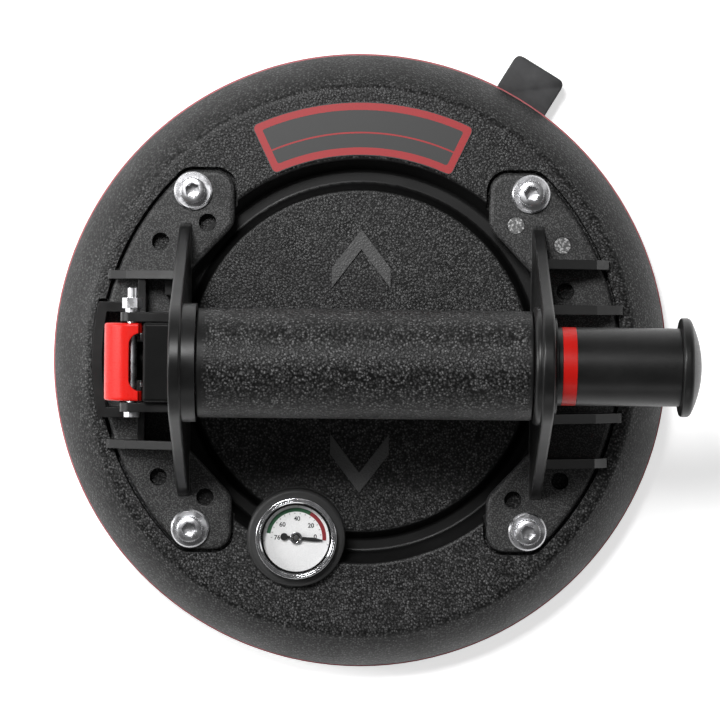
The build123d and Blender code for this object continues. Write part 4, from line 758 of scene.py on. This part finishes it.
# bracket feet painted lighter and arches darker, as light and shade
BRACKET = BracketPlastic("bracket plastic")
NODE_FINISHES = {
    "base_plate": PlatePlastic("base plate plastic"),
    "valve_block": VALVE_BLOCK_SHADED,
    "valve_seat": VALVE_BLOCK_SHADED,
    "indicator_ring": SmoothPlastic("red indicator", (0.52, 0.008, 0.005), 0.34, 0.06, shine=0.2),
    "locating_pins": GrainedPlastic("cast grey pins", GrainWithGlints(0.7 * MM, 0.05 * MM, 0.09, 0.17, 0.42), 0.4),
    "pump_bracket": BRACKET,
    "valve_bracket": BRACKET,
}
INKS = {
    "label_red": PrintedInk("label red", (0.34, 0.014, 0.018), 0.42),
    "scale_green": PrintedInk("scale green", (0.004, 0.085, 0.026), 0.45),
    "scale_red": PrintedInk("scale red", (0.24, 0.004, 0.010), 0.45),
    "scale_black": PrintedInk("scale black", grey(0.012), 0.5),
}


def paint_cad(materials: dict[str, Material]) -> None:
    """Put the procedural materials on the CAD meshes.

    Args:
        materials: material of each slot, and of each node that has its own.
    """
    slots = {part["node"]: part["material_slot"] for part in frame["record"]["subparts"]}
    for name, obj in frame["nodes"].items():
        chosen = materials.get(name, materials[slots[name]])
        if not obj.data.materials:
            obj.data.materials.append(chosen)
        for index in range(len(obj.data.materials)):
            obj.data.materials[index] = chosen


# ---------------------------------------------------------------------------
# Mesh building
# ---------------------------------------------------------------------------
def curved(start: Sequence[float], bend: Sequence[float], end: Sequence[float], steps: int) -> list[Point]:
    """Points of a smooth turn.

    Args:
        start: first point.
        bend: point that the turn is drawn towards.
        end: last point.
        steps: straight runs in the turn.

    Returns:
        The points, with both ends.
    """
    shares = [step / steps for step in range(steps + 1)]
    places = list(zip(start, bend, end))
    return [
        tuple(a * (1 - share) ** 2 + b * 2 * share * (1 - share) + c * share**2 for a, b, c in places)
        for share in shares
    ]


def rounded(corners: Sequence[Point3], steps: int = 5) -> list[Point]:
    """Closed outline with rounded corners.

    Args:
        corners: x, y and rounding radius of each corner, in order.
        steps: straight runs in each rounded corner.

    Returns:
        The outline's points.
    """
    nearly_half = 0.49
    points: list[Point] = []
    for index, (x, y, radius) in enumerate(corners):
        if radius <= 0:
            points.append((x, y))
            continue
        here = Vector((x, y))
        before = Vector(corners[index - 1][:2]) - here
        after = Vector(corners[(index + 1) % len(corners)][:2]) - here
        cut = radius / math.tan(before.angle(after) / 2)
        reach = min(cut, before.length * nearly_half, after.length * nearly_half)
        points += curved(here + before.normalized() * reach, here, here + after.normalized() * reach, steps)
    return points


def arc(radius: float, start: float, end: float, steps: int) -> list[Point]:
    """Points along an arc, with angles in degrees."""
    turns = [math.radians(start + (end - start) * step / steps) for step in range(steps + 1)]
    return [(radius * math.cos(turn), radius * math.sin(turn)) for turn in turns]


def ring_part(radius: float, width: float, start: float, end: float, steps: int) -> list[Point]:
    """Outline of part of a flat ring, with angles in degrees."""
    outer, inner = (arc(radius + side, start, end, steps) for side in (width / 2, -width / 2))
    return outer + inner[::-1]


def trim_section(inner: float, outer: float, low: float, high: float, corner: float) -> list[Point]:
    """Section of a flat ring with its two top corners rounded."""
    foot, crest = [(inner, low, 0.0), (outer, low, 0.0)], [(outer, high, corner), (inner, high, corner)]
    return rounded(foot + crest, steps=3)


def onward(items: list) -> list[tuple]:
    """Each item with the next, and the last with the first."""
    return list(zip(items, items[1:] + items[:1]))


def add_lathe(
    bm: bmesh.types.BMesh, profile: Sequence[Point], segments: int, place: Matrix = IDENTITY
) -> None:
    """Add a solid turned round an axis.

    Args:
        bm: mesh to add to.
        profile: closed section as radius and height.
        segments: faces round the axis.
        place: matrix that puts the axis, its local Z, where it belongs.
    """
    rings = [
        [bm.verts.new(place @ Vector((r * math.cos(turn), r * math.sin(turn), z))) for r, z in profile]
        for turn in (math.tau * step / segments for step in range(segments))
    ]
    reaches = onward([r for r, _ in profile])
    for here, there in onward(rings):
        for (a, b), (d, c), reach in zip(onward(here), onward(there), reaches):
            if max(reach) > ON_AXIS:
                bm.faces.new([a, b, c, d])


def add_loft(
    bm: bmesh.types.BMesh,
    rings: Sequence[tuple[Sequence[Point], float]],
    place: Matrix = IDENTITY,
    closed: bool = False,
) -> None:
    """Add a solid through outlines of equal length, each at its own height.

    Args:
        bm: mesh to add to.
        rings: outlines and their heights, in order.
        place: matrix that puts the solid where it belongs.
        closed: the last outline joins the first, where otherwise both are capped.
    """
    loops = [[bm.verts.new(place @ Vector((x, y, z))) for x, y in outline] for outline, z in rings]
    for low, high in onward(loops) if closed else zip(loops, loops[1:]):
        for (a, b), (d, c) in zip(onward(low), onward(high)):
            bm.faces.new([a, b, c, d])
    if not closed:
        bm.faces.new(loops[0][::-1])
        bm.faces.new(loops[-1])


def mesh_object(name: str, data: bpy.types.ID) -> Object:
    """Link a mesh or a text to the scene as an object at the origin.

    Args:
        name: name of both.
        data: the mesh or text.

    Returns:
        The object.
    """
    data.name = name
    made = bpy.data.objects.new(name, data)
    bpy.context.scene.collection.objects.link(made)
    return made


def plain_mesh(obj: Object) -> bpy.types.Mesh:
    """Take an object's evaluated shape as a mesh, and remove the object.

    Args:
        obj: the object.

    Returns:
        The mesh, which no object uses yet.
    """
    bpy.context.view_layer.update()
    graph = bpy.context.evaluated_depsgraph_get()
    mesh = bpy.data.meshes.new_from_object(obj.evaluated_get(graph))
    bpy.data.objects.remove(obj)
    return mesh


def finished(
    bm: bmesh.types.BMesh, name: str, material: Material | None = None, smooth_angle: float = 35.0
) -> Object:
    """Turn a bmesh into an object with outward normals and smooth faces.

    Args:
        bm: the mesh being built, which is freed.
        name: the object's name.
        material: the material of all its faces, or None where it comes later.
        smooth_angle: edges sharper than this, in degrees, stay crisp.

    Returns:
        The new object.
    """
    bmesh.ops.remove_doubles(bm, verts=bm.verts, dist=MERGE)
    bmesh.ops.recalc_face_normals(bm, faces=bm.faces)
    mesh = bpy.data.meshes.new(name)
    bm.to_mesh(mesh)
    bm.free()
    mesh.shade_smooth()
    mesh.set_sharp_from_angle(angle=math.radians(smooth_angle))
    mesh.materials.clear()
    if material:
        mesh.materials.append(material)
    return mesh_object(name, mesh)


def settle(piece: Object, body: Body, slot: Slot, *nodes: str) -> Object:
    """Put a finished piece on its body.

    Args:
        piece: the piece.
        body: the body that it rides on.
        slot: its material slot, which is not used.
        nodes: the CAD nodes that it stands for.

    Returns:
        The piece.
    """
    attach(piece, body.value)
    if nodes:
        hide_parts(*nodes)
    return piece


# ---------------------------------------------------------------------------
# Pad and label
# ---------------------------------------------------------------------------
@dataclass
class RubberPad:
    """Round rubber pad with its sealing lip, sealing beads and pull tab.

    bead_section gives the points of each bead: place across and depth in bead heights, and rounding.
    """

    hole: float = 3.05 * MM
    web_low: float = 7.0 * MM
    web_high: float = 9.95 * MM
    lip_start: float = 84.0 * MM
    lip_bend: Point = (95.2 * MM, 3.8 * MM)
    foot_inner: float = 97.2 * MM
    foot_outer: float = 99.3 * MM
    heel: Point = (99.5 * MM, 3.4 * MM)
    rim: float = 100.0 * MM
    rim_low: float = 6.0 * MM
    rim_top: float = 8.35 * MM
    seat: float = 95.45 * MM
    bead: float = 1.0 * MM
    bead_rings: Point = (48.0 * MM, 72.0 * MM)
    bead_section: tuple[Point3, ...] = (
        (-1.2, 0.0, 0.2 * MM), (-0.7, 1.0, 0.5 * MM), (0.7, 1.0, 0.5 * MM), (1.2, 0.0, 0.2 * MM)
    )
    tab_turn: float = 58.8
    tab_width: float = 18.3 * MM
    tab_start: float = 97.0 * MM
    tab_end: float = 112.3 * MM
    tab_low: float = 4.4 * MM
    tab_high: float = 7.6 * MM
    tab_corner: float = 2.6 * MM
    tab_slope: float = 0.45 * MM
    segments: int = 256
    crisp: float = 40.0

    def profile(self) -> list[Point]:
        """Section of the pad.

        Returns:
            The section's points as radius and height.
        """
        beads = [
            (ring + self.bead * across, self.web_low - self.bead * depth, corner)
            for ring in self.bead_rings
            for across, depth, corner in self.bead_section
        ]
        corners = [
            (self.hole, self.web_high, 0.0),
            (self.hole, self.web_low, 0.2 * MM),
            *beads,
            (self.lip_start, self.web_low, 3.0 * MM),
            (*self.lip_bend, 2.0 * MM),
            (self.foot_inner, 0.0, 0.4 * MM),
            (self.foot_outer, 0.0, 0.7 * MM),
            (*self.heel, 1.0 * MM),
            (self.rim, self.rim_low, 1.0 * MM),
            (self.rim, self.rim_top, 0.5 * MM),
            (self.seat, self.rim_top, 0.0),
            (self.seat, self.web_high, 0.0),
        ]
        return rounded(corners, steps=4)

    def build(self, rubber: Material) -> Object:
        """Build the pad and put it on the housing.

        Args:
            rubber: the pad's material.

        Returns:
            The pad.
        """
        bm = bmesh.new()
        add_lathe(bm, self.profile(), self.segments)
        half, slope = self.tab_width / 2, self.tab_slope
        corners = [
            (self.tab_start, -half, 0.0),
            (self.tab_end, -half, self.tab_corner),
            (self.tab_end, half, self.tab_corner),
            (self.tab_start, half, 0.0),
        ]
        wide = rounded(corners, steps=6)
        slim = [(max(x - slope, self.tab_start), y * (1 - slope / half)) for x, y in wide]
        low, high = self.tab_low, self.tab_high
        rings = [(slim, low), (wide, low + slope), (wide, high - slope), (slim, high)]
        add_loft(bm, rings, Matrix.Rotation(math.radians(self.tab_turn), 4, "Z"))
        pad = finished(bm, "rubber_pad", rubber, smooth_angle=self.crisp)
        return settle(pad, Body.HOUSING, Slot.RUBBER, "rubber_cup")


@dataclass
class LabelFilm:
    """Print on the label plate: a red border and a fine red line between two bare fields."""

    inner: float = 66.1 * MM
    outer: float = 83.2 * MM
    half_turn: float = 25.4
    border: float = 2.3 * MM
    margin: float = 0.25 * MM
    corner: float = 1.7 * MM
    inner_corner_share: float = 0.45
    line_radius: float = 73.4 * MM
    line_width: float = 0.5 * MM
    line_half_turn: float = 23.4
    lay: float = 0.04 * MM
    side_steps: int = 40
    corner_steps: int = 4
    line_steps: int = 60

    def sector(self, inset: float, corner: float) -> list[Point]:
        """Outline of the label, drawn in, round the +Y direction.

        Args:
            inset: how far it is drawn in.
            corner: rounding of its corners.

        Returns:
            The outline's points.
        """
        points: list[Point] = []
        for radius, inward, side in ((self.inner + inset, corner, 1), (self.outer - inset, -corner, -1)):
            edge = side * (math.radians(self.half_turn) - math.asin(inset / radius))
            bend = edge - side * corner / radius
            first = [(radius + inward, -edge), (radius, -edge), (radius, -bend)]
            last = [(radius, bend), (radius, edge), (radius + inward, edge)]
            points += curved(*(self.spot(*place) for place in first), self.corner_steps)
            turns = [bend * (2 * step / self.side_steps - 1) for step in range(self.side_steps + 1)]
            points += [self.spot(radius, turn) for turn in turns]
            points += curved(*(self.spot(*place) for place in last), self.corner_steps)
        return points

    @staticmethod
    def spot(radius: float, turn: float) -> Point:
        """Point at a radius, turned from +Y by an angle in radians."""
        return (radius * math.sin(turn), radius * math.cos(turn))

    def build(self, red: Material) -> list[Object]:
        """Build the border and the line just above the label plate.

        Args:
            red: the printed red.

        Returns:
            The printed pieces.
        """
        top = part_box("label_plate")[1].z
        low, high = top + PRINT_GAP, top + self.lay
        outer = self.sector(self.margin, self.corner)
        inner = self.sector(self.margin + self.border, self.corner * self.inner_corner_share)
        ends = (90 - self.line_half_turn, 90 + self.line_half_turn)
        line = ring_part(self.line_radius, self.line_width, *ends, self.line_steps)
        border_rings = [(outer, low), (outer, high), (inner, high), (inner, low)]
        pieces = []
        for name, rings, closed in (
            ("label_border", border_rings, True),
            ("label_line", [(line, low), (line, high)], False),
        ):
            bm = bmesh.new()
            add_loft(bm, rings, closed=closed)
            pieces.append(settle(finished(bm, name, red), Body.HOUSING, Slot.LABEL))
        return pieces


# ---------------------------------------------------------------------------
# Screws and springs
# ---------------------------------------------------------------------------
@dataclass
class BracketScrews:
    """Four socket cap screws with knurled heads, each turned by chance."""

    spacing: float = 108.4 * MM
    head: float = 4.2 * MM
    head_low: float = 27.6 * MM
    head_high: float = 32.0 * MM
    socket: float = 2.3 * MM
    socket_depth: float = 2.6 * MM
    socket_flare: float = 0.22 * MM
    flare_depth: float = 0.25 * MM
    pit: float = 0.4 * MM
    shank: float = 2.45 * MM
    shank_low: float = 13.6 * MM
    knurls: int = 40
    knurl: float = 0.17 * MM
    knurl_sides: int = 6
    chamfer: float = 0.5 * MM
    crown: Point = (0.15 * MM, 0.35)
    facets: int = 48
    crisp: float = 30.0
    seed: int = 3
    most_turn: float = 1.0

    def outline(self, radius: float, hexagon: bool = False) -> list[Point]:
        """Outline of the screw at some height.

        Args:
            radius: radius, to the corners of a hexagon.
            hexagon: a hexagon in place of a circle.

        Returns:
            The outline's points, of the same number for both.
        """
        half_side = math.pi / 6
        points = []
        for step in range(self.facets):
            turn = math.tau * step / self.facets
            local = turn % (2 * half_side) - half_side
            reach = radius * math.cos(half_side) / math.cos(local) if hexagon else radius
            points.append((reach * math.cos(turn), reach * math.sin(turn)))
        return points

    def one(self) -> Object:
        """Build one screw without its knurling, upright on the axis.

        Returns:
            The screw.
        """
        body = self.head - self.knurl
        crown_in, crown_share = self.crown
        floor = self.head_high - self.socket_depth
        rings = [
            (self.shank_low, self.shank, False),
            (self.head_low, self.shank, False),
            (self.head_low, body, False),
            (self.head_high - self.chamfer, body, False),
            (self.head_high - self.chamfer * crown_share, body - crown_in, False),
            (self.head_high, body - self.chamfer, False),
            (self.head_high, self.socket + self.socket_flare, True),
            (self.head_high - self.flare_depth, self.socket, True),
            (floor, self.socket, True),
            (floor - self.pit, 0.0, False),
        ]
        bm = bmesh.new()
        add_loft(bm, [(self.outline(radius, hexagon), height) for height, radius, hexagon in rings])
        return finished(bm, "screw_blank", smooth_angle=self.crisp)

    def build(self, steel: Material) -> Object:
        """Knurl the screw and set it at the four corners of the brackets.

        Args:
            steel: the plated steel.

        Returns:
            The four screws in one mesh.
        """
        recipe = NodeRecipe("knurled cap screws", {
            "Knurls": self.knurls,
            "Knurl Ring": self.head - self.knurl,
            "Knurl Size": self.knurl,
            "Knurl Height": self.head_high - self.head_low - self.chamfer * 2,
            "Knurl Middle": (self.head_high + self.head_low) / 2,
            "Spacing": self.spacing,
        })
        ring = recipe.first("GeometryNodeMeshCircle", Vertices="Knurls", Radius="Knurl Ring")
        solid = {"fill_type": "NGON"}
        ridge = recipe.node("GeometryNodeMeshCylinder", settings=solid, Vertices=self.knurl_sides,
                            Radius="Knurl Size", Depth="Knurl Height").outputs["Mesh"]
        set_up = recipe.first("GeometryNodeInstanceOnPoints", Points=ring, Instance=ridge)
        lifted = recipe.first("GeometryNodeTransform", Geometry=set_up,
                              Translation=recipe.vector(z="Knurl Middle"))
        joined = recipe.node("GeometryNodeJoinGeometry")
        for part in ("Geometry", lifted):
            recipe.feed(joined, 0, part)
        corners = recipe.first("GeometryNodeMeshGrid", Size_X="Spacing", Size_Y="Spacing",
                               Vertices_X=2, Vertices_Y=2)
        chance = recipe.node("FunctionNodeRandomValue", settings={"data_type": "FLOAT"}, Seed=self.seed)
        float_most = 3
        recipe.feed(chance, float_most, self.most_turn)
        placed = recipe.first("GeometryNodeInstanceOnPoints", Points=corners, Instance=joined.outputs[0],
                              Rotation=recipe.vector(z=chance.outputs[1]))
        screws = recipe.run(placed, steel, self.one(), "bracket_cap_screws")
        return settle(screws, Body.HOUSING, Slot.STEEL, "bracket_screws")


@dataclass
class CoilSpring:
    """Coil spring along X, in the shape of its CAD node.

    Its joint, travel and anchor end are not used.
    """

    node: str
    joint: str
    travel: float
    anchor_high: bool

    def build(self, steel: Material) -> Object:
        """Build the spring in its seat, from its CAD node's shape with the loose triangles joined up.

        Args:
            steel: the plated steel.

        Returns:
            The spring.
        """
        low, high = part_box(self.node)
        bm = bmesh.new()
        bm.from_mesh(frame["nodes"][self.node].data)
        spring = settle(finished(bm, f"{self.node}_coil", steel), Body.HOUSING, Slot.STEEL, self.node)
        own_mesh(spring)
        return spring


SPRINGS = (
    CoilSpring("pump_spring", "plunger_slide", 34.0 * MM, False),
    CoilSpring("valve_spring", "valve_slide", 3.5 * MM, True),
    CoilSpring("check_spring", "check_lift", 1.0 * MM, True),
)


# ---------------------------------------------------------------------------
# Gauge
# ---------------------------------------------------------------------------
@dataclass
class GaugeDial:
    """Print on the gauge's dial, the trim of its window and needle, and a dark ring painted as shade inside
    the bezel. Angles are in degrees.
    """

    arc_radius: float = 9.0 * MM
    arc_width: float = 1.25 * MM
    arc_step: float = 2.0
    green_span: Point = (60.0, 171.0)
    red_span: Point = (-5.0, 60.0)
    number_radius: float = 6.1 * MM
    number_size: float = 2.0 * MM
    number_weight: float = 0.05 * MM
    numbers: tuple[tuple[str, float], ...] = (
        ("0", 3.0), ("20", 40.0), ("40", 88.0), ("60", 137.0), ("76", 180.0)
    )
    tick_length: float = 0.5 * MM
    tick_width: float = 0.16 * MM
    inner_ticks: tuple[float, int, Point] = (7.9 * MM, 16, (-5.0, 180.0))
    outer_ticks: tuple[float, int, Point] = (10.35 * MM, 9, (-12.0, 186.0))
    lay: float = 0.03 * MM
    hub_outer: float = 1.95 * MM
    hub_inner: float = 1.3 * MM
    hub_height: float = 0.26 * MM
    hub_corner: float = 0.12 * MM
    button: float = 0.85 * MM
    button_share: float = 0.9
    button_heights: Point = (0.12 * MM, 0.16 * MM)
    bead_width: float = 0.68 * MM
    bead_round: float = 0.30 * MM
    groove: float = 0.24 * MM
    step: float = 0.08 * MM
    step_round: float = 0.21 * MM
    lip_rise: float = 0.35 * MM
    lip_share: float = 0.6
    lip_round: float = 0.1 * MM
    skirt_gap: float = 0.05 * MM
    skirt_round: float = 0.15 * MM
    seat_gap: float = 0.02 * MM
    window_radius: float = 11.3 * MM
    shade_ring_inner: float = 10.6 * MM
    shade_ring_height: float = 0.30 * MM
    crisp: float = 40.0

    def place(self) -> tuple[Vector, float]:
        """Find the dial.

        Returns:
            The dial's centre, at no height, and the height of its face.
        """
        low, high = (Vector(corner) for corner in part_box("gauge_dial"))
        centre = (low + high) / 2
        return Vector((centre.x, centre.y, 0.0)), high.z

    def lathed(self, bm: bmesh.types.BMesh, profile: Sequence[Point], segments: int) -> bmesh.types.BMesh:
        """Turn a section round the dial's centre, add it to a mesh and return the mesh."""
        add_lathe(bm, profile, segments, Matrix.Translation(self.place()[0]))
        return bm

    def band(self, name: str, span: Point, ink: Material) -> Object:
        """Coloured band of the scale.

        Args:
            name: name of the piece.
            span: first and last angle.
            ink: the band's colour.

        Returns:
            The band.
        """
        centre, top = self.place()
        outline = ring_part(self.arc_radius, self.arc_width, *span, int((span[1] - span[0]) / self.arc_step))
        bm = bmesh.new()
        add_loft(bm, [(outline, top + PRINT_GAP), (outline, top + self.lay)], Matrix.Translation(centre))
        return settle(finished(bm, name, ink), Body.HOUSING, Slot.DIAL)

    def numerals(self, ink: Material) -> Object:
        """Plain numbers round the scale.

        Args:
            ink: the printed black.

        Returns:
            The numbers in one mesh.
        """
        centre, top = self.place()
        bm = bmesh.new()
        for words, turn in self.numbers:
            curve = bpy.data.curves.new("number", "FONT")
            curve.body = words
            curve.size = self.number_size
            curve.align_x = curve.align_y = "CENTER"
            curve.extrude = self.lay / 2
            curve.offset = self.number_weight
            mesh = plain_mesh(mesh_object("number", curve))
            angle = math.radians(turn)
            spot = centre + Vector((math.cos(angle), math.sin(angle), 0)) * self.number_radius
            spot.z += top + self.lay / 2 + PRINT_GAP
            mesh.transform(Matrix.Translation(spot))
            bm.from_mesh(mesh)
            bpy.data.meshes.remove(mesh)
        return settle(finished(bm, "gauge_numbers", ink, smooth_angle=30.0), Body.HOUSING, Slot.NEEDLE)

    def tick_ring(self, name: str, ticks: tuple[float, int, Point], ink: Material) -> Object:
        """Ring of short scale marks, made with Geometry Nodes.

        Args:
            name: name of the piece.
            ticks: radius of the marks' middles, how many they are, and their first and last angle.
            ink: the printed black.

        Returns:
            The marks in one mesh.
        """
        centre, top = self.place()
        radius, count, (start, end) = ticks
        recipe = NodeRecipe("scale marks", {
            "Marks": count,
            "Radius": radius,
            "Start": math.radians(start),
            "Sweep": math.radians(end - start),
            "Length": self.tick_length,
            "Width": self.tick_width,
            "Lay": self.lay,
            "Centre X": centre.x,
            "Centre Y": centre.y,
            "Height": top + self.lay / 2 + PRINT_GAP,
        })
        path = recipe.node("GeometryNodeCurveArc", Resolution="Marks", Radius="Radius",
                           Start_Angle="Start", Sweep_Angle="Sweep").outputs["Curve"]
        points = recipe.node("GeometryNodeCurveToPoints", settings={"mode": "EVALUATED"}, Curve=path)
        where = recipe.first("GeometryNodeInputPosition")
        turn = recipe.math("ARCTAN2", recipe.axis(where, 1), recipe.axis(where, 0))
        mark = recipe.first("GeometryNodeMeshCube", Size=recipe.vector("Length", "Width", "Lay"))
        ring = recipe.first("GeometryNodeInstanceOnPoints", Points=points.outputs["Points"],
                            Instance=mark, Rotation=recipe.vector(z=turn))
        moved = recipe.first("GeometryNodeTransform", Geometry=ring,
                             Translation=recipe.vector("Centre X", "Centre Y", "Height"))
        carrier = mesh_object(name, bpy.data.meshes.new(name))
        return settle(recipe.run(moved, ink, carrier, name), Body.HOUSING, Slot.NEEDLE)

    def bezel(self, chrome: Material) -> Object:
        """Rolled bezel: a bright bead round the window over a straight skirt.

        Args:
            chrome: the bright trim.

        Returns:
            The bezel.
        """
        low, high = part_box("gauge_bezel")
        case_low, case_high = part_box("gauge_case")
        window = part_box("gauge_lens")[1].z
        skirt = (case_high.x - case_low.x) / 2 + self.skirt_gap
        outer = (high.x - low.x) / 2
        bead, inner = outer - self.bead_width, outer - self.bead_width * 2
        corners = [
            (skirt, low.z, 0.0),
            (outer, low.z, self.skirt_round),
            (outer, high.z, self.bead_round),
            (bead, high.z, self.bead_round),
            (bead, high.z - self.groove, 0.0),
            (bead - self.groove, high.z - self.groove, 0.0),
            (bead - self.groove, high.z - self.step, self.step_round),
            (inner, high.z - self.step, self.step_round),
            (inner, window + self.lip_rise, self.lip_round),
            (self.window_radius, window + self.lip_rise * self.lip_share, self.lip_round),
            (self.window_radius, window + self.seat_gap, 0.0),
            (skirt, window + self.seat_gap, 0.0),
        ]
        bm = self.lathed(bmesh.new(), rounded(corners, steps=6), segments=128)
        piece = finished(bm, "gauge_rolled_bezel", chrome, smooth_angle=self.crisp)
        return settle(piece, Body.HOUSING, Slot.CHROME, "gauge_bezel")

    def window_shade_ring(self, black: Material) -> Object:
        """Black ring just inside the bezel, painted shade and dark reflection at the window's edge.

        Args:
            black: the ring's material.

        Returns:
            The ring.
        """
        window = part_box("gauge_lens")[1].z
        outer = self.window_radius - self.seat_gap
        low, high = window + TRIM_GAP, window + self.shade_ring_height
        ring = trim_section(self.shade_ring_inner, outer, low, high, self.lip_round)
        bm = self.lathed(bmesh.new(), ring, segments=96)
        piece = finished(bm, "gauge_window_shade_ring", black, smooth_angle=self.crisp)
        return settle(piece, Body.HOUSING, Slot.SMOOTH)

    def hub(self, chrome: Material) -> Object:
        """Bright ring and centre button on the needle's hub.

        Args:
            chrome: the bright trim.

        Returns:
            The ring and the button in one mesh.
        """
        top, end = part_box("gauge_needle")[1].z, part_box("needle_arbor")[1].z
        heights = (top + TRIM_GAP, top + self.hub_height)
        ring = trim_section(self.hub_inner, self.hub_outer, *heights, self.hub_corner)
        shoulder, crown = self.button_heights
        cap = [
            (0.0, end + TRIM_GAP),
            (self.button, end + TRIM_GAP),
            (self.button * self.button_share, end + shoulder),
            (0.0, end + crown),
        ]
        bm = self.lathed(bmesh.new(), ring, segments=48)
        bm = self.lathed(bm, cap, segments=32)
        return settle(finished(bm, "needle_hub_ring", chrome), Body.NEEDLE, Slot.CHROME)

    def build(self, materials: dict[str, Material]) -> list[Object]:
        """Build the print and the trim.

        Args:
            materials: materials by the names of slots, nodes and inks.

        Returns:
            The pieces.
        """
        black, chrome = materials["scale_black"], materials["chrome_trim"]
        return [
            self.band("gauge_green_band", self.green_span, materials["scale_green"]),
            self.band("gauge_red_band", self.red_span, materials["scale_red"]),
            self.numerals(black),
            self.tick_ring("gauge_inner_marks", self.inner_ticks, black),
            self.tick_ring("gauge_outer_marks", self.outer_ticks, black),
            self.bezel(chrome),
            # painted shade: dark ring inside the bezel
            self.window_shade_ring(materials["valve_block"]),
            self.hub(chrome),
        ]


# ---------------------------------------------------------------------------
# Studio
# ---------------------------------------------------------------------------
@dataclass(frozen=True)
class Lamp:
    """Soft rectangular lamp aimed at the cup."""

    name: str
    place: Point3
    size: Point
    power: float
    aim: Point3 = (0.0, 0.0, 0.03)

    def build(self) -> None:
        """Hang the lamp."""
        data = bpy.data.lights.new(self.name, "AREA")
        data.shape = "RECTANGLE"
        data.size, data.size_y = self.size
        data.energy = self.power
        lamp = bpy.data.objects.new(self.name, data)
        lamp.location = self.place
        lamp.rotation_mode = "QUATERNION"
        lamp.rotation_quaternion = (Vector(self.aim) - Vector(self.place)).to_track_quat("-Z", "Y")
        bpy.context.scene.collection.objects.link(lamp)


LAMPS = (
    Lamp("key lamp", (-0.26, 0.50, 1.12), (0.32, 0.32), 13.0),
    Lamp("left lamp", (-1.0, 0.15, 0.50), (0.3, 0.8), 9.0),
    Lamp("right lamp", (1.0, 0.10, 0.50), (0.25, 0.6), 0.8),
    Lamp("front lamp", (0.1, -1.0, 0.60), (0.6, 0.3), 1.0),
)


@dataclass
class Studio:
    """Pale floor, soft lamps and a camera that looks down on the handle.

    ambient lights the cup. background is shown to the camera, and reflections see a world that fades
    with height, over fade, to the ceiling's strength.
    """

    floor_half: float = 2.0
    floor_gap: float = 0.02 * MM
    floor_tones: Point = (0.86, 0.88)
    floor_cloud: float = 0.4
    floor_glow: float = 0.55
    eye: Point3 = (-0.006, 0.019, 1.105)
    roll: float = 0.6
    lens: float = 168.0
    sensor: float = 36.0
    clip: Point = (0.05, 20.0)
    background: float = 1.0
    ambient: float = 0.20
    ceiling: float = 0.10
    fade: Point = (0.05, 0.45)

    def floor(self) -> None:
        """Floor that shows as white and keeps the object's shadow."""
        half, height = self.floor_half, cad_bounds[0].z - self.floor_gap
        bm = bmesh.new()
        corners = [(-half, -half), (half, -half), (half, half), (-half, half)]
        bm.faces.new([bm.verts.new((x, y, height)) for x, y in corners])
        mesh = bpy.data.meshes.new("studio_floor")
        bm.to_mesh(mesh)
        bm.free()
        tree = ShaderTree("pale studio floor")
        colour = tree.tones(tree.noise(self.floor_cloud), *(grey(level) for level in self.floor_tones))
        plain = tree.first("ShaderNodeBsdfDiffuse", Color=colour)
        glow = tree.first("ShaderNodeEmission", Color=opaque(1.0), Strength=self.floor_glow)
        both = tree.first("ShaderNodeAddShader", plain, glow)
        path = tree.node("ShaderNodeLightPath").outputs
        seen = tree.math("MAXIMUM", path["Is Camera Ray"], path["Is Glossy Ray"])
        seen = tree.math("MAXIMUM", seen, path["Is Transmission Ray"])
        mesh.materials.append(tree.close(tree.choose(seen, plain, both)))
        mesh_object("studio_floor", mesh)

    def world(self) -> None:
        """Even light from all round, which shows as pale to the camera and in reflections."""
        world = bpy.data.worlds.new("studio world")
        bpy.context.scene.world = world
        world.use_nodes = True
        tree = Nodes(world.node_tree)
        height = tree.axis(tree.node("ShaderNodeTexCoord").outputs["Generated"], 2)
        strengths = (self.ambient, self.background, tree.spread(height, *self.fade, 1.0, self.ceiling))
        light, shown, mirrored = (tree.first("ShaderNodeBackground", Strength=each) for each in strengths)
        path = tree.node("ShaderNodeLightPath").outputs
        seen = tree.math("MAXIMUM", path["Is Camera Ray"], path["Is Transmission Ray"])
        plain = tree.choose(seen, light, shown)
        tree.node("ShaderNodeOutputWorld", Surface=tree.choose(path["Is Glossy Ray"], plain, mirrored))

    def camera(self) -> None:
        """Camera above the cup, with +Y up in its view."""
        data = bpy.data.cameras.new("studio camera")
        data.lens, data.sensor_width = self.lens, self.sensor
        data.clip_start, data.clip_end = self.clip
        camera = bpy.data.objects.new("studio camera", data)
        camera.location = self.eye
        back = Vector(self.eye).normalized()
        right = (Vector((1, 0, 0)) - back * back.x).normalized()
        axes = Matrix((right, back.cross(right), back)).transposed()
        camera.rotation_euler = (axes @ Matrix.Rotation(math.radians(self.roll), 3, "Z")).to_euler()
        bpy.context.scene.collection.objects.link(camera)
        bpy.context.scene.camera = camera

    def build(self) -> None:
        """Set up the whole studio."""
        self.floor()
        self.world()
        for lamp in LAMPS:
            lamp.build()
        self.camera()
        bpy.context.scene.view_settings.view_transform = "Standard"


def main() -> None:
    """Dress the cup, log each new piece's faces and set up its studio."""
    logging.basicConfig(level=logging.INFO, format="%(name)s: %(message)s")
    finishes = SLOT_FINISHES | NODE_FINISHES | INKS
    made = {finish: finish.material() for finish in dict.fromkeys(finishes.values())}
    materials = {name: made[finish] for name, finish in finishes.items()}
    paint_cad(materials)
    pieces = [
        RubberPad().build(materials["black_rubber"]),
        *LabelFilm().build(materials["label_red"]),
        BracketScrews().build(materials["steel"]),
        *(spring.build(materials["steel"]) for spring in SPRINGS),
        *GaugeDial().build(materials),
    ]
    for piece in pieces:
        log.info("%s is built, with %d faces", piece.name, len(piece.data.polygons))
    Studio().build()


if __name__ == "__main__":
    main()
